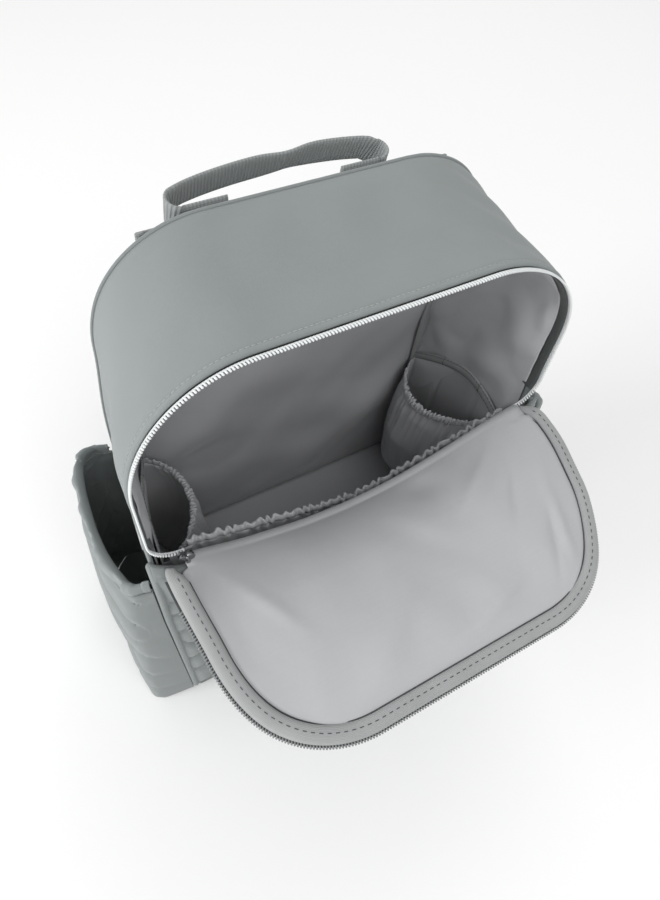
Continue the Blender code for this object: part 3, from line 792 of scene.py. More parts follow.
def back_grid(low, inset):
    """Grid over the back's outline, with every point's distance in from its edge."""
    left, right = (arch(np.linspace(end, 0.5, 400), 1.0, low, inset) for end in (0, 1))
    top = left[-1, 2]
    z = low + (top - low) * np.sin(np.linspace(0, math.pi / 2, 90))[:, None]
    first, last = np.interp(z, left[:, 2], left[:, 0]), np.interp(z, right[:, 2], right[:, 0])
    u = np.linspace(0, 1, 101)[None, :]
    points = joined(first + (last - first) * u, back_y(z), z)
    inside = np.minimum(np.minimum(u, 1 - u) * (last - first), np.minimum(z - low, top - z))
    return points, inside


def corner_slack(share, z):
    """How far the loose lining stands in from the wall near the back corners."""
    return 0.0120 * smooth(share, 0.45, 1.0) * bell(z, 0.25, 0.13)


def linings():
    """Satin lining of the band, the back and the floor, with the soft folds of loose cloth."""
    t = np.linspace(0, 1, 241)[None, :]
    first = 0.058
    share = np.concatenate([[first, 0.07], np.linspace(0.09, 0.975, 30)])[:, None]
    points = arch(t, share, LINING_LOW_Z, 0.0046)
    out = normals(points)
    out *= np.sign(out[10, 120, 2])
    from_rim = (share - first) * BAND_DEPTH
    high = smooth(points[..., 2], 0.21, 0.25)
    pucker = bell(from_rim, 0.004, 0.012) * waves(points, 0.014, 11) * 0.0008 * high
    fade = smooth(from_rim, 0.0, 0.01) * smooth(points[..., 2], 0.01, 0.06)
    folds = (0.5 + 0.5 * waves(points, 0.075, 12)) * 0.0032 + 0.0017 * waves(points, 0.036, 13)
    points = points - out * (np.maximum(folds, 0) * fade + np.maximum(pucker, -0.0004))[..., None]
    points[..., 0] -= np.sign(points[..., 0]) * corner_slack(share, points[..., 2])
    made = cloth("side_lining", points, "lining", LINING_THICK)
    belongs(made, "bag_body", "lining", "gusset_lining")

    points, inside = back_grid(LINING_LOW_Z, 0.0047)
    points[..., 1] -= 0.0016
    diagonal = np.sin((points[..., 0] * 0.75 - points[..., 2] * 0.66 + 0.06) * 2 * math.pi / 0.17)
    soft = 0.5 + 0.5 * waves(points, 0.13, 21)
    lift = 0.0040 * soft + 0.0062 * np.maximum(diagonal, 0) ** 2 + 0.0013 * waves(points, 0.055, 22)
    points[..., 1] -= np.maximum(lift, 0) * smooth(inside, 0.0, 0.035)
    made = cloth("back_lining_cloth", points, "lining", LINING_THICK)
    belongs(made, "bag_body", "lining", "back_lining")

    low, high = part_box("base_lining")
    x = np.linspace(-1, 1, 61)[None, :]
    y = np.linspace(low.y + 0.0006, high.y - 0.0006, 34)[:, None]
    points = joined(x * wall_x(y, 0.006, 0.0052), y, high.z)
    edge = smooth(1 - np.abs(x), 0, 0.1) * smooth(y - low.y, 0, 0.012) * smooth(high.y - y, 0, 0.012)
    points[..., 2] += (0.0007 + 0.0010 * waves(points, 0.09, 31)) * edge
    points[..., 2] = np.maximum(points[..., 2], high.z + 0.0001)
    made = cloth("floor_lining", points, "lining", LINING_THICK)
    belongs(made, "bag_body", "lining", "base_lining")
    seam = joined(np.linspace(-0.149, 0.149, 60), high.y - 0.0012, high.z + 0.0012)
    belongs(rod("floor_seam", seam, round_section(0.0011, 6), "inner_tape"), "bag_body", "lining")


def seam_binding(side, sign):
    """Bound seam that runs up the back corner."""
    z = np.linspace(0.012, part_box("seam_binding_" + side)[1].z + 0.02, 60)
    x = sign * (np.interp(z, [0.01, 0.31, 0.335], [0.1458, 0.1395, 0.132]) - corner_slack(1.0, z))
    path = joined(x, back_y(z) - 0.0062, z)
    section = [(-0.0045, 0), (-0.004, 0.0011), (0.004, 0.0013), (0.0052, 0.0), (0.004, -0.0012), (-0.004, -0.0011)]
    made = rod("seam_binding_strip_" + side, path, section, "inner_tape", (0, 1, 0))
    belongs(made, "bag_body", "binding", "seam_binding_" + side)


# ---------------------------------------------------------------- gathered pockets
def gathers(t, scale, seed):
    """Uneven pleats along t (metres), as a height of about -1 to 1."""
    rng = np.random.default_rng(seed)

    def ripple(stretch):
        return np.sin(t * 2 * math.pi / (scale * stretch) + rng.uniform(0, 6))

    phase = t * 2 * math.pi / scale
    phase = phase + 1.1 * ripple(3.7)
    phase = phase + 0.7 * ripple(2.1)
    return np.sin(phase) * (0.72 + 0.28 * ripple(4.9))


POCKET_LOW_Z = 0.009
POCKET_LEVELS = [0.0085, 0.05, 0.11, 0.150, 0.164]
POCKET_BULGES = [0.018, 0.038, 0.046, 0.042, 0.037]
POCKET_BACK = 0.94
POCKET_FRONT = 0.14
POCKET_LIP_BACK = 0.1740
POCKET_LIP_FRONT = 0.180
POCKET_DIP = 0.0160
POCKET_LENGTH = 0.155
FRILL_TURN = np.linspace(-0.75 * math.pi, 1.2 * math.pi, 12)[:, None]


def pocket_lip_z(t):
    """Height of a side pocket's dipping lip: t from the back to the front."""
    return POCKET_LIP_BACK + (POCKET_LIP_FRONT - POCKET_LIP_BACK) * t - POCKET_DIP * np.sin(math.pi * t ** 0.85)


def pocket_point(t, z, lift, sign):
    """Place on a side pocket's cloth: t from the back to the front, lift outwards from it."""
    share = POCKET_BACK + (POCKET_FRONT - POCKET_BACK) * t
    bulge = np.interp(z, POCKET_LEVELS, POCKET_BULGES) * np.sin(math.pi * np.clip(t, 0, 1) ** 0.80) ** 0.55
    y = depth_at(share, z)
    inward = sign * (wall_x(y, z, 0.0078) - bulge - lift * np.sin(math.pi * np.clip(t, 0.03, 0.97)) ** 0.3)
    return joined(inward, y, z)


def inner_pocket(side, sign):
    """Elastic pocket on a side wall: pleats fan down from a ruffled lip over a hanging pouch."""
    t = np.linspace(0, 1, 181)[None, :]
    level = np.linspace(0, 1, 46)[:, None]
    tall = pocket_lip_z(t) - POCKET_LEVELS[0]
    z = POCKET_LEVELS[0] + tall * level
    down = (1 - level) * tall
    pleat = gathers(t * POCKET_LENGTH + 0.10 * (t - 0.5) * down, 0.0105, 40 + sign)
    broad = gathers(t * POCKET_LENGTH + 0.25 * (t - 0.5) * down, 0.027, 50 + sign)
    flat = joined(t * POCKET_LENGTH, level * 0.16, 0.0 * t)
    lift = 0.0016 * pleat * np.exp(-down / 0.030) + 0.0019 * broad * np.exp(-down / 0.075) * smooth(down, 0, 0.03)
    lift = lift + 0.0014 * waves(flat, 0.035, 60 + sign) * smooth(down, 0.005, 0.05)
    lift = lift * smooth(level, 0.0, 0.15) - 0.003 * smooth(0.06 - down, 0.0, 0.06) * 0.3
    made = cloth("side_wall_pocket_" + side, pocket_point(t, z, lift, sign), "lining", 0.0008)
    belongs(made, "bag_body", "lining", "inner_pocket_" + side)

    t = np.linspace(0, 1, 321)[None, :]
    ruffle = gathers(t * POCKET_LENGTH, 0.0052, 70 + sign)
    uneven = gathers(t * POCKET_LENGTH + 0.002, 0.0047, 80 + sign)
    over = 0.0040 * np.sin(FRILL_TURN) + 0.0034
    lift = 0.0017 * np.cos(FRILL_TURN) + 0.0021 * ruffle * (0.35 + 0.65 * smooth(over, 0.0, 0.007))
    z = pocket_lip_z(t) + over * (0.92 + 0.22 * uneven)
    made = cloth("side_wall_lip_" + side, pocket_point(t, z, lift, sign), "elastic", LINING_THICK)
    belongs(made, "bag_body", "lining", "inner_pocket_elastic_" + side)


SLIP_INSET = 0.0068
SLIP_DIVIDERS = (0.36, 0.70)


def slip_pocket(side, sign):
    """Flat pocket on the side wall behind the gathered one, bound with tape and divided by stitching."""
    share = np.linspace(0.10, 0.965, 70)[None, :]
    edge_z = 0.172 + 0.030 * np.sin(math.pi * np.clip((share - 0.02) / 0.98, 0, 1)) ** 0.8
    level = np.linspace(0, 1, 30)[:, None]
    z = POCKET_LOW_Z + (edge_z - POCKET_LOW_Z) * level
    y = depth_at(share, z)
    flat = joined(y, z, 0 * y)
    puff = 0.0008 + 0.0010 * (0.5 + 0.5 * waves(flat, 0.05, 90 + sign)) * smooth(level, 0, 0.2)
    puff = puff * (1 - 0.8 * sum(bell(share, place, 0.02) for place in SLIP_DIVIDERS))
    points = joined(sign * (wall_x(y, z, SLIP_INSET) - puff - corner_slack(share, z)), y, z)
    # painted shade: the slip pocket's cloth is the lining darkened for the shade inside the wall
    made = cloth("slip_pocket_cloth_" + side, points, "shaded_lining", LINING_THICK)
    belongs(made, "bag_body", "lining", "slip_pocket_" + side)

    section = np.array([(-0.0004, 0.0), (0.0006, 0.0015), (0.0011, 0.005), (0.0006, 0.0085), (-0.0002, 0.010)])
    out, up = section[:, :1], section[:, 1:]
    z = edge_z - 0.0045 + up
    y = depth_at(share, z)
    points = joined(sign * (wall_x(y, z, SLIP_INSET) - 0.0014 - out - corner_slack(share, z)), y, z)
    made = cloth("slip_pocket_binding_" + side, points, "inner_tape", 0.0009)
    belongs(made, "bag_body", "binding", "slip_pocket_tape_" + side)
    inward = np.array([-sign, 0.0, 0.0])
    for row, label in ((1, "low"), (3, "high")):
        seam = points[row] + inward * 0.0003
        belongs(stitches(f"slip_stitches_{label}_{side}", seam, inward, "dark_thread_and_seam_shade"), "bag_body", "binding")
    for number, place in enumerate(SLIP_DIVIDERS):
        column = int(np.argmin(np.abs(share[0] - place)))
        seam = points[:, column] + inward * 0.0004
        made = stitches(f"divider_stitches_{number}_{side}", seam, inward, "dark_thread_and_seam_shade", 0.0022, 0.0017)
        belongs(made, "bag_body", "binding")


FRONT_LIP_LOW = 0.1665
FRONT_LIP_RISE = 0.040
FRONT_POCKET_HALF = 0.146


def front_lip_z(x):
    """Height of the front pocket's lip, lowest a little right of the middle."""
    return FRONT_LIP_LOW + FRONT_LIP_RISE * (np.abs(x - 0.010) / 0.13) ** 1.4


def front_pocket_point(x, z, lift):
    """Place on the front pocket's cloth, lift into the bag."""
    share = np.clip(1 - (np.abs(x) / 0.149) ** 2, 0, 1)
    y = front_y(z) + 0.0068 + 0.0085 * share ** 0.6 + lift
    return joined(x, y, z)


def front_pocket():
    """Wide elastic pocket behind the fold, with its frilled lip."""
    x = np.linspace(-FRONT_POCKET_HALF, FRONT_POCKET_HALF, 201)[None, :]
    level = np.linspace(0, 1, 40)[:, None]
    tall = front_lip_z(np.clip(x, -0.128, 0.138)) - POCKET_LOW_Z
    z = POCKET_LOW_Z + tall * level
    down = (1 - level) * tall
    pleat = gathers(x + 0.1 * x * down / 0.15, 0.011, 101)
    lift = 0.0018 * pleat * np.exp(-down / 0.035) + 0.001 * gathers(x, 0.034, 102) * smooth(down, 0, 0.05)
    points = front_pocket_point(x, z, lift * smooth(FRONT_POCKET_HALF - np.abs(x), 0, 0.02))
    made = cloth("front_wall_pocket", points, "lining", 0.0008)
    belongs(made, "bag_body", "lining", "inner_front_pocket")

    x = np.linspace(-0.132, 0.141, 421)[None, :]
    frill = gathers(x, 0.0080, 103)
    uneven = gathers(x + 0.003, 0.0067, 104)
    over = 0.0042 * np.sin(FRILL_TURN) + 0.0034
    lift = 0.0016 * np.cos(FRILL_TURN) + 0.0019 * frill * (0.3 + 0.7 * smooth(over, 0.0, 0.007))
    z = front_lip_z(x) + over * (0.85 + 0.16 * uneven) + 0.0004 * uneven
    made = cloth("front_wall_lip", front_pocket_point(x, z, lift), "elastic", LINING_THICK)
    belongs(made, "bag_body", "lining", "inner_front_pocket_elastic")


# ---------------------------------------------------------------- quilting
def serpentine(width, height, pitch, reach, phase):
    """Stitch lines of long rounded fingers that wind back and forth in columns, over a flat cloth."""
    lines = []
    angle = np.linspace(-math.pi / 2, math.pi / 2, 12)
    columns = int(math.ceil(width / reach)) + 2
    for column in range(columns):
        left = -width / 2 - reach + column * reach + pitch * 0.62
        right = left + reach - pitch * 1.1
        start = -pitch + (pitch * 0.5 if column % 2 else 0.0) + phase
        for row in range(int(height / pitch) + 3):
            y = start + row * pitch
            x = np.linspace(left, right, 26)
            lines.append(np.stack([x, np.full(26, y)], axis=1))
            end, way = (right, 1) if row % 2 else (left, -1)
            lines.append(np.stack([end + way * pitch / 2 * np.cos(angle),
                                   y + pitch / 2 + pitch / 2 * np.sin(angle)], axis=1))
    flat = np.concatenate(lines)
    bend = np.stack([0.007 * np.sin(flat[:, 1] * 2 * math.pi / 0.095 + 1.0),
                     0.010 * np.sin(flat[:, 0] * 2 * math.pi / 0.130 + 0.4)], axis=1)
    return flat + bend


def padding(flat, lines):
    """Height of wadding between stitch lines: 0 on a line, 1 well away from it."""
    tree = kdtree.KDTree(len(lines))
    for number, (x, y) in enumerate(lines):
        tree.insert((x, y, 0.0), number)
    tree.balance()
    near = np.array([tree.find((x, y, 0.0))[2] for x, y in flat.reshape(-1, 2)])
    near = near.reshape(flat.shape[:-1])
    return np.sin(np.clip(near / CHANNEL_REACH, 0, 1) * math.pi / 2) ** CHANNEL_SHARPNESS


QUILT_PITCH = 0.0285
QUILT_REACH = 0.078
QUILT_LIFT = 0.0044
CHANNEL_REACH = 0.0092
CHANNEL_SHARPNESS = 0.62


def lower_front():
    """Quilted lower front, its top edge sagging with the fold, with horns under the zip's corners."""
    low = FRONT_BOX[0].z
    half = np.linspace(-1, 1, 181)[None, :]
    x = half * FRONT_HALF
    centre_x, centre_z = FRONT_HALF - ZIP_INSET - ZIP_RADIUS, ZIP_LOW_Z + ZIP_RADIUS
    radius = centre_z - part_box("front_lining_lower")[1].z
    horn = centre_z - np.sqrt(np.maximum(radius ** 2 - np.maximum(np.abs(x) - centre_x, 0) ** 2, 0))
    top = horn - sag(x) * 0.97 - 0.0010
    level = np.linspace(0, 1, 120)[:, None]
    z = low + (top - low) * level
    x = half * half_x(0.0, z)
    flat = joined(x, z)
    puff = padding(flat, serpentine(0.33, 0.25, QUILT_PITCH, QUILT_REACH, 0.004)) * QUILT_LIFT
    edge = smooth(1 - np.abs(half), 0, 0.06) * smooth(top - z, 0.0, 0.012) * smooth(z - low, 0.0, 0.010)
    crown = 0.0016 * smooth(1 - np.abs(half), 0, 0.5)
    y = front_y(z) - 0.0032 - (puff + crown) * edge
    points = joined(x, y, z)
    made = cloth("lower_front_quilting", points, "quilt", 0.0027, 1.0)
    face_towards(made, (0, -1, 0))
    belongs(made, "bag_body", "quilt", "front_panel_lower")


# a side pocket's outline at its mouth and its foot: out from the wall, and y, from the back to the front
MOUTH = [(0.0018, 0.050), (0.014, 0.056), (0.028, 0.049), (0.031, 0.020), (0.030, -0.015), (0.026, -0.040),
         (0.016, -0.067), (0.0010, -0.0745)]
FOOT = [(0.0018, 0.068), (0.018, 0.070), (0.030, 0.060), (0.033, 0.025), (0.034, -0.020), (0.034, -0.060),
        (0.030, -0.0775), (0.0010, -0.0800)]
POCKET_RIM = 0.209
POCKET_HEM = 0.013
POCKET_GIRTH = 0.185


def side_ring(share, along):
    """Point on a side pocket's outer face: share of the way up, and along from the back to the front."""
    spot = np.linspace(0, 1, len(MOUTH))
    mouth, foot = np.array(MOUTH), np.array(FOOT)

    def soft(values, amount):
        total = sum(np.interp(np.clip(along + d, 0, 1), spot, values) for d in np.linspace(-amount, amount, 9))
        return total / 9

    z = share * POCKET_RIM
    out_m, y_m = soft(mouth[:, 0], 0.05), soft(mouth[:, 1], 0.05)
    out_f, y_f = soft(foot[:, 0], 0.022), soft(foot[:, 1], 0.022)
    y = y_f + (y_m - y_f) * share
    out = out_f + (out_m - out_f) * share
    front_end = FOOT[-1][1] + (MOUTH[-1][1] - FOOT[-1][1]) * share
    return y + (front_y(z) - 0.0036 - front_end) * smooth(along, 0.80, 1.0), z, out


def side_pocket(side, sign):
    """Quilted outer pocket with its folded hem, whose mouth is pinched by an elastic."""
    along = np.linspace(0, 1, 150)[None, :]
    hem_share = 1 - POCKET_HEM / POCKET_RIM
    share = np.linspace(0.012, hem_share, 96)[:, None]
    y, z, out = side_ring(share, along)
    across, up = (along - 0.5) * POCKET_GIRTH, z - 0.1
    lean = math.radians(24)
    flat = np.stack([across * math.cos(lean) + up * math.sin(lean) * sign,
                     up * math.cos(lean) - across * math.sin(lean) * sign + 0.14], axis=-1)
    relief = padding(flat, serpentine(0.30, 0.30, QUILT_PITCH, QUILT_REACH * 0.85, 0.002 * sign))
    ends = smooth(along, 0.0, 0.06) * smooth(1 - along, 0.0, 0.06)
    edge = ends * smooth(share, 0.0, 0.05) * smooth(hem_share - share, 0.0, 0.03)
    loose = waves(joined(y, z, 0 * y + sign), 0.075, 130 + sign) * 0.0020
    slump = 0.0022 * bell(share, 0.45, 0.25)
    out = out + (relief * QUILT_LIFT + loose * smooth(share, 0.05, 0.3) + slump) * edge
    points = joined(sign * (wall_x(y, z) + 0.0003 + out), y, z)
    made = cloth("side_pocket_quilting_" + side, points, "quilt", 0.0026, 1.0)
    face_towards(made, (sign, 0, 0))
    belongs(made, "bag_body", "quilt", "side_pocket_" + side)

    along = np.linspace(0, 1, 220)[None, :]
    turn = np.linspace(-0.6, 1.15, 15)[:, None]
    height = np.clip(turn, 0, 1)
    share = hem_share - 0.004 + (1 - hem_share + 0.004) * np.sin(np.clip(turn, -0.6, 1) * math.pi / 2).clip(0, 1)
    y, z, out = side_ring(np.broadcast_to(share, (15, 220)), along)
    pinch = gathers(along * POCKET_GIRTH, 0.030, 140 + sign)
    fine = gathers(along * POCKET_GIRTH, 0.011, 150 + sign)
    body = np.sin(math.pi * np.clip(height, 0.0, 1.0)) ** 0.7
    shift = 0.0012 * body + 0.0021 * np.abs(pinch) ** 0.6 * np.sign(pinch) * body + 0.0007 * fine * body
    inner = np.where(turn > 1, -(turn - 1) / 0.15 * 0.0035, 0.0)
    out = out + 0.0012 + (shift + inner) * smooth(along, 0, 0.04) * smooth(1 - along, 0, 0.04)
    z = z - np.where(turn > 1, (turn - 1) / 0.15 * 0.006, 0) + 0.0010 * pinch * height
    points = joined(sign * (wall_x(y, z) + 0.0003 + out), y, z)
    made = cloth("side_pocket_band_" + side, points, "shell", 0.0011, 1.0)
    face_towards(made, (sign, 0, 0))
    belongs(made, "bag_body", "shell", "side_pocket_hem_" + side)
    low_row = int(np.argmin(np.abs(share[:, 0] - hem_share - 0.006)))
    out_way = normals(points)[low_row]
    out_way *= np.sign(out_way[:, :1] * sign + 1e-9)
    seam = points[low_row] + out_way * 0.0003
    belongs(stitches("side_pocket_stitches_" + side, seam, out_way), "bag_body", "shell")


def corner_piping(side, sign):
    """Piped seam down a front corner."""
    z = np.linspace(0.006, 0.2255, 80)
    x = sign * (half_x(0.0, z) - 0.0002)
    y = front_y(z) - 0.0050 + 0.0030 * smooth(z, 0.19, 0.2255)
    made = rod("front_corner_piping_" + side, joined(x, y, z), round_section(0.0029, 10), "shell", (0, -1, 0))
    belongs(made, "bag_body", "binding", "corner_piping_" + side)
    seam = joined(x - sign * 0.0042, y + 0.0016, z)
    belongs(stitches("front_corner_stitches_" + side, seam[4:-8], (0, -1, 0)), "bag_body", "quilt")


def base_cloth():
    """Floor of the bag and of its side pockets, with rounded edges and a welt between them."""
    low, high = BASE_BOX
    high.y = HALF_DEPTH + 0.0008
    corner = 0.006
    angle = np.linspace(0, math.pi / 2, 7)

    def outline(half_front, half_back, near, far, inset):
        r = corner - inset * 0.5
        points = []
        for sx, sy, half, y, start in ((1, 1, half_back, far, 0), (-1, 1, half_back, far, 1),
                                       (-1, -1, half_front, near, 2), (1, -1, half_front, near, 3)):
            for a in angle + start * math.pi / 2:
                points.append((sx * (half - inset - r) + r * math.cos(a), y - sy * (inset + r) + r * math.sin(a)))
        return points

    rings = []
    for z, inset in ((low.z, 0.0016), (low.z + 0.0006, 0.0005), (low.z + 0.0018, 0.0), (high.z - 0.0004, 0.0004),
                     (high.z, 0.0016)):
        rings.append([(x, y, z) for x, y in outline(high.x, high.x - 0.006, low.y, high.y, inset)])
    made = closed_loft("base_cloth", np.array(rings), "shell")
    belongs(made, "bag_body", "shell", "base_panel")
    for side, sign in SIDES:
        along = np.linspace(0, 1, 60)
        y, _, out = side_ring(0.0, along)
        edge = np.stack([sign * (wall_x(y, 0.0) + 0.0003 + out), y], axis=1)
        inner = np.stack([sign * (wall_x(edge[::-1, 1], 0.0) + 0.0016), edge[::-1, 1]], axis=1)
        middle = np.concatenate([edge, inner]).mean(axis=0)
        rings = []
        for z, scale in ((0.0, 0.985), (0.0009, 1.0), (0.0026, 1.0), (0.0035, 0.985)):
            loop = middle + (np.concatenate([edge, inner[1:-1]]) - middle) * scale
            rings.append([(x, y, z) for x, y in loop])
        made = closed_loft("side_pocket_floor_" + side, np.array(rings), "quilt")
        belongs(made, "bag_body", "quilt", "side_pocket_base_" + side)


# ---------------------------------------------------------------- flap
def sag(x):
    """How far the slack fold hangs below the hinge line."""
    return SAG_DEPTH * np.cos(math.pi / 2 * np.clip((x - SAG_CENTRE) / SAG_REACH, -1, 1)) ** 1.15


FLAP_NEAR = -0.003


def flap_half(v, inset):
    """Half width of the flap's outline at a distance v from the hinge."""
    far_radius, near_radius = CORNER_RADIUS - inset, NEAR_RADIUS - inset * 0.5
    half = FLAP_HALF - inset
    past = np.clip(v - (FLAP_LENGTH - inset - far_radius), 0, far_radius)
    short = np.clip(FLAP_NEAR + inset + near_radius - v, 0, near_radius)
    return half - far_radius + np.sqrt(far_radius ** 2 - past ** 2) - near_radius + np.sqrt(
        near_radius ** 2 - short ** 2)


def spread(x, v):
    """Unevenness of the soft flap: its near right corner flares and its left edge draws in."""
    right = 0.0050 * bell(v, 0.030, 0.032) - 0.0030 * bell(v, 0.105, 0.030)
    return x + right * smooth(x, 0.05, 0.15) + 0.0055 * bell(v, 0.080, 0.048) * smooth(-x, 0.05, 0.15)


def flap_place(x, v, height):
    """Place on the flap at x and v, at a height over its middle plane, with the fold's sag."""
    x, v, height = np.broadcast_arrays(np.asarray(x, float), np.asarray(v, float), np.asarray(height, float))
    points = HINGE + v[..., None] * FLAP_OUT + height[..., None] * FLAP_UP
    points[..., 0] = spread(x, v)
    points[..., 2] -= sag(x) * np.exp(-np.maximum(v, 0) / 0.036)
    return points


def flap_rows(near, knee, near_count, far, far_count):
    """Column of distances from the hinge: even up to the knee, then closing up towards the far edge."""
    past = far - (far - knee) * np.cos(np.linspace(0, math.pi / 2, far_count))
    rows = np.concatenate([np.linspace(near, knee, near_count)[:-1], past])
    return np.unique(np.round(rows, 6))[:, None]


LINING_HEIGHT = 0.0040
# soft creases of the flap's lining: x, distance from the hinge, direction, width, length, height
CREASES = ((0.078, 0.030, 0.9, 0.0050, 0.026, 0.0019), (0.098, 0.052, 0.5, 0.0042, 0.022, -0.0014),
           (0.118, 0.088, 0.15, 0.0050, 0.030, 0.0017), (0.108, 0.096, 0.45, 0.0038, 0.026, -0.0013),
           (0.040, 0.118, 1.25, 0.0055, 0.040, 0.0015), (-0.035, 0.100, 0.95, 0.0100, 0.048, 0.0013),
           (-0.105, 0.050, -0.5, 0.0060, 0.028, 0.0012), (0.020, 0.060, -0.75, 0.0110, 0.040, -0.0012))
LINING_INSET = 0.0085
SHELL_INSET = 0.0022
ROLL_RADIUS = 0.0065


def fold_lining():
    """Lining that climbs the lower front, rolls over the sagging fold and covers the flap."""
    u = np.linspace(-1, 1, 181)[None, :]
    far = FLAP_LENGTH - LINING_INSET
    v = flap_rows(0, 0.045, 26, far, 44)
    half = flap_half(v, LINING_INSET)
    half = np.where(v < 0.020, np.minimum(half, 0.1445 + 0.002 * smooth(v, 0.0, 0.020)), half)
    x = u * half
    inside = (1 - np.abs(u)) * half
    rim = np.minimum(np.broadcast_to(inside, x.shape), np.broadcast_to(far - v, x.shape))
    flat = joined(x, v, 0 * x)
    loose = smooth(rim, 0.0, 0.020)
    long_folds = 0.0010 * waves(flat, 0.110, 201) + 0.0004 * waves(flat, 0.042, 202)
    crease = 0.0
    for at_x, at_v, turn, width, reach, rise in CREASES:
        over = (x - at_x) * math.cos(turn) + (v - at_v) * math.sin(turn)
        along = (v - at_v) * math.cos(turn) - (x - at_x) * math.sin(turn)
        crease = crease + rise * bell(over, 0.0, width) * bell(along, 0.0, reach)
    dimple = -0.0030 * bell(x, 0.045, 0.014) * bell(v, 0.016, 0.012)
    crown = 0.0026 * smooth(rim, 0.0, 0.05)
    height = LINING_HEIGHT - 0.0018 * (1 - smooth(rim, 0.0, 0.006))
    height = height + (long_folds + crease) * loose + crown * smooth(v, 0.01, 0.05) + dimple
    top = flap_place(x, v, height)

    turn = np.linspace(FLAP_TILT + math.pi / 2, 0, 12)[:-1, None, None]
    start = top[0][None]
    centre = start - FLAP_UP * ROLL_RADIUS
    roll = centre + ROLL_RADIUS * (np.cos(turn) * FLAP_UP - np.sin(turn) * FLAP_OUT)
    level = np.linspace(0, 1, 32)[:-1, None]
    low_z = 0.0085
    z = low_z + (roll[0][None, :, 2] - low_z) * level
    drop = roll[0][None, :, 2] - z
    y = front_y(z) + 0.0022
    y = y + (roll[0][None, :, 1] - y) * np.exp(-drop / 0.016)
    wide = half[0] + (0.1500 - half[0]) * smooth(drop, 0.0, 0.05)
    inner = joined(u * wide, y, z)
    points = np.concatenate([inner, roll, top])
    made = cloth("fold_lining", points, "lining", 0.0007)
    crosses(made, "lining", "flap_lining", "front_lining_lower")


def flap_outline(inset, step=0.002):
    """Path (x, v) round the flap from its near left corner to its near right one."""
    near_radius, far_radius = NEAR_RADIUS - inset * 0.5, CORNER_RADIUS - inset
    half, far = FLAP_HALF - inset, FLAP_LENGTH - inset

    def near_arc(radius, turn):
        angle = np.linspace(turn, 0, 20)
        return np.stack([half - radius + radius * np.cos(angle),
                         FLAP_NEAR + inset + radius - radius * np.sin(angle)], axis=1)

    angle = np.linspace(0, math.pi / 2, 50)
    far_arc = np.stack([half - far_radius + far_radius * np.cos(angle),
                        far - far_radius + far_radius * np.sin(angle)], axis=1)
    left = np.concatenate([near_arc(near_radius, 0.6), far_arc])
    right = np.concatenate([near_arc(near_radius + 0.006, 1.4), far_arc])
    path = np.concatenate([left * [-1, 1], right[::-1]])
    path = np.concatenate([path, np.zeros((len(path), 1))], axis=1)
    return resample(path, step)[:, :2]


def flap_binding():
    """Grosgrain binding folded over the flap's edge, with its stitching and a dark cord of painted shade along the
    seam inside it.
    """
    path = flap_outline(0.0)
    count = len(path)
    line = flap_place(path[:, 0], path[:, 1], 0.0)
    section = np.array([(-0.0100, 0.0036), (-0.0096, 0.0049), (-0.0070, 0.0055), (-0.0035, 0.0054), (-0.0008, 0.0046),
                        (0.0007, 0.0028), (0.0010, 0.0008), (0.0006, -0.0012), (-0.0008, -0.0028),
                        (-0.0040, -0.0036), (-0.0078, -0.0038), (-0.0084, -0.0030)])
    points = sweep(line, section, FLAP_UP)
    ends = np.minimum(np.arange(count), np.arange(count)[::-1]) * 0.002
    wobble = waves(line, 0.030, 211)[:, None, None] * 0.0003 * FLAP_UP
    tuck = (1 - smooth(ends, 0.0, 0.016))[:, None, None]
    points = line[:, None] + (points - line[:, None]) * (1 - 0.45 * tuck) + wobble - FLAP_UP * 0.0022 * tuck
    made = cloth("flap_edge_binding", points, "binding", 0.0008)
    crosses(made, "binding", "flap_binding")
    upper = points[:, 2] * 0.55 + points[:, 3] * 0.45 + FLAP_UP * 0.0003
    seam = stitches("flap_binding_stitches", upper[6:-6], FLAP_UP, "dark_thread_and_seam_shade", 0.0052, 0.0026, 0.00030)
    crosses(seam, "binding")
    inner = flap_outline(0.0107)
    # painted shade: a dark cord in the groove inside the binding stands for the shadow in the seam's gap
    cord = rod("flap_seam_shadow_cord", flap_place(inner[:, 0], inner[:, 1], 0.0036)[3:-3], round_section(0.00055, 6),
               "dark_thread_and_seam_shade", FLAP_UP)
    crosses(cord, "binding")


def flap_outside():
    """Quilted outer face of the flap, joined by its slack hinge strip to the lower front."""
    u = np.linspace(-1, 1, 161)[None, :]
    near, far = 0.003, FLAP_LENGTH - SHELL_INSET
    v = flap_rows(near, 0.05, 24, far, 60)
    half = flap_half(v, SHELL_INSET)
    x = u * half
    flat = joined(x, v + 0.24)
    rim = np.minimum((1 - np.abs(u)) * half, far - v)
    puff = padding(flat, serpentine(0.33, 0.42, QUILT_PITCH, QUILT_REACH, 0.004)) * 0.0024
    under = flap_place(x, v, -0.0008 - puff * smooth(rim, 0.002, 0.012) * smooth(v, 0.004, 0.02))
    x = u * flap_half(near, SHELL_INSET)
    share = np.linspace(0, 1, 9)[:-1, None]
    edge_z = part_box("front_lining_lower")[1].z - sag(x) * 0.97 - 0.0035
    start = joined(x, front_y(edge_z) - 0.0022, edge_z)
    end = under[0][None]
    strip = start + (end - start) * share[..., None]
    strip[..., 1] += 0.0012 * np.sin(math.pi * share)
    points = np.concatenate([strip, under])
    made = cloth("flap_quilting", points, "quilt", 0.0022, 1.0)
    face_towards(made, (0, 0, -1))
    crosses(made, "quilt", "flap_shell")


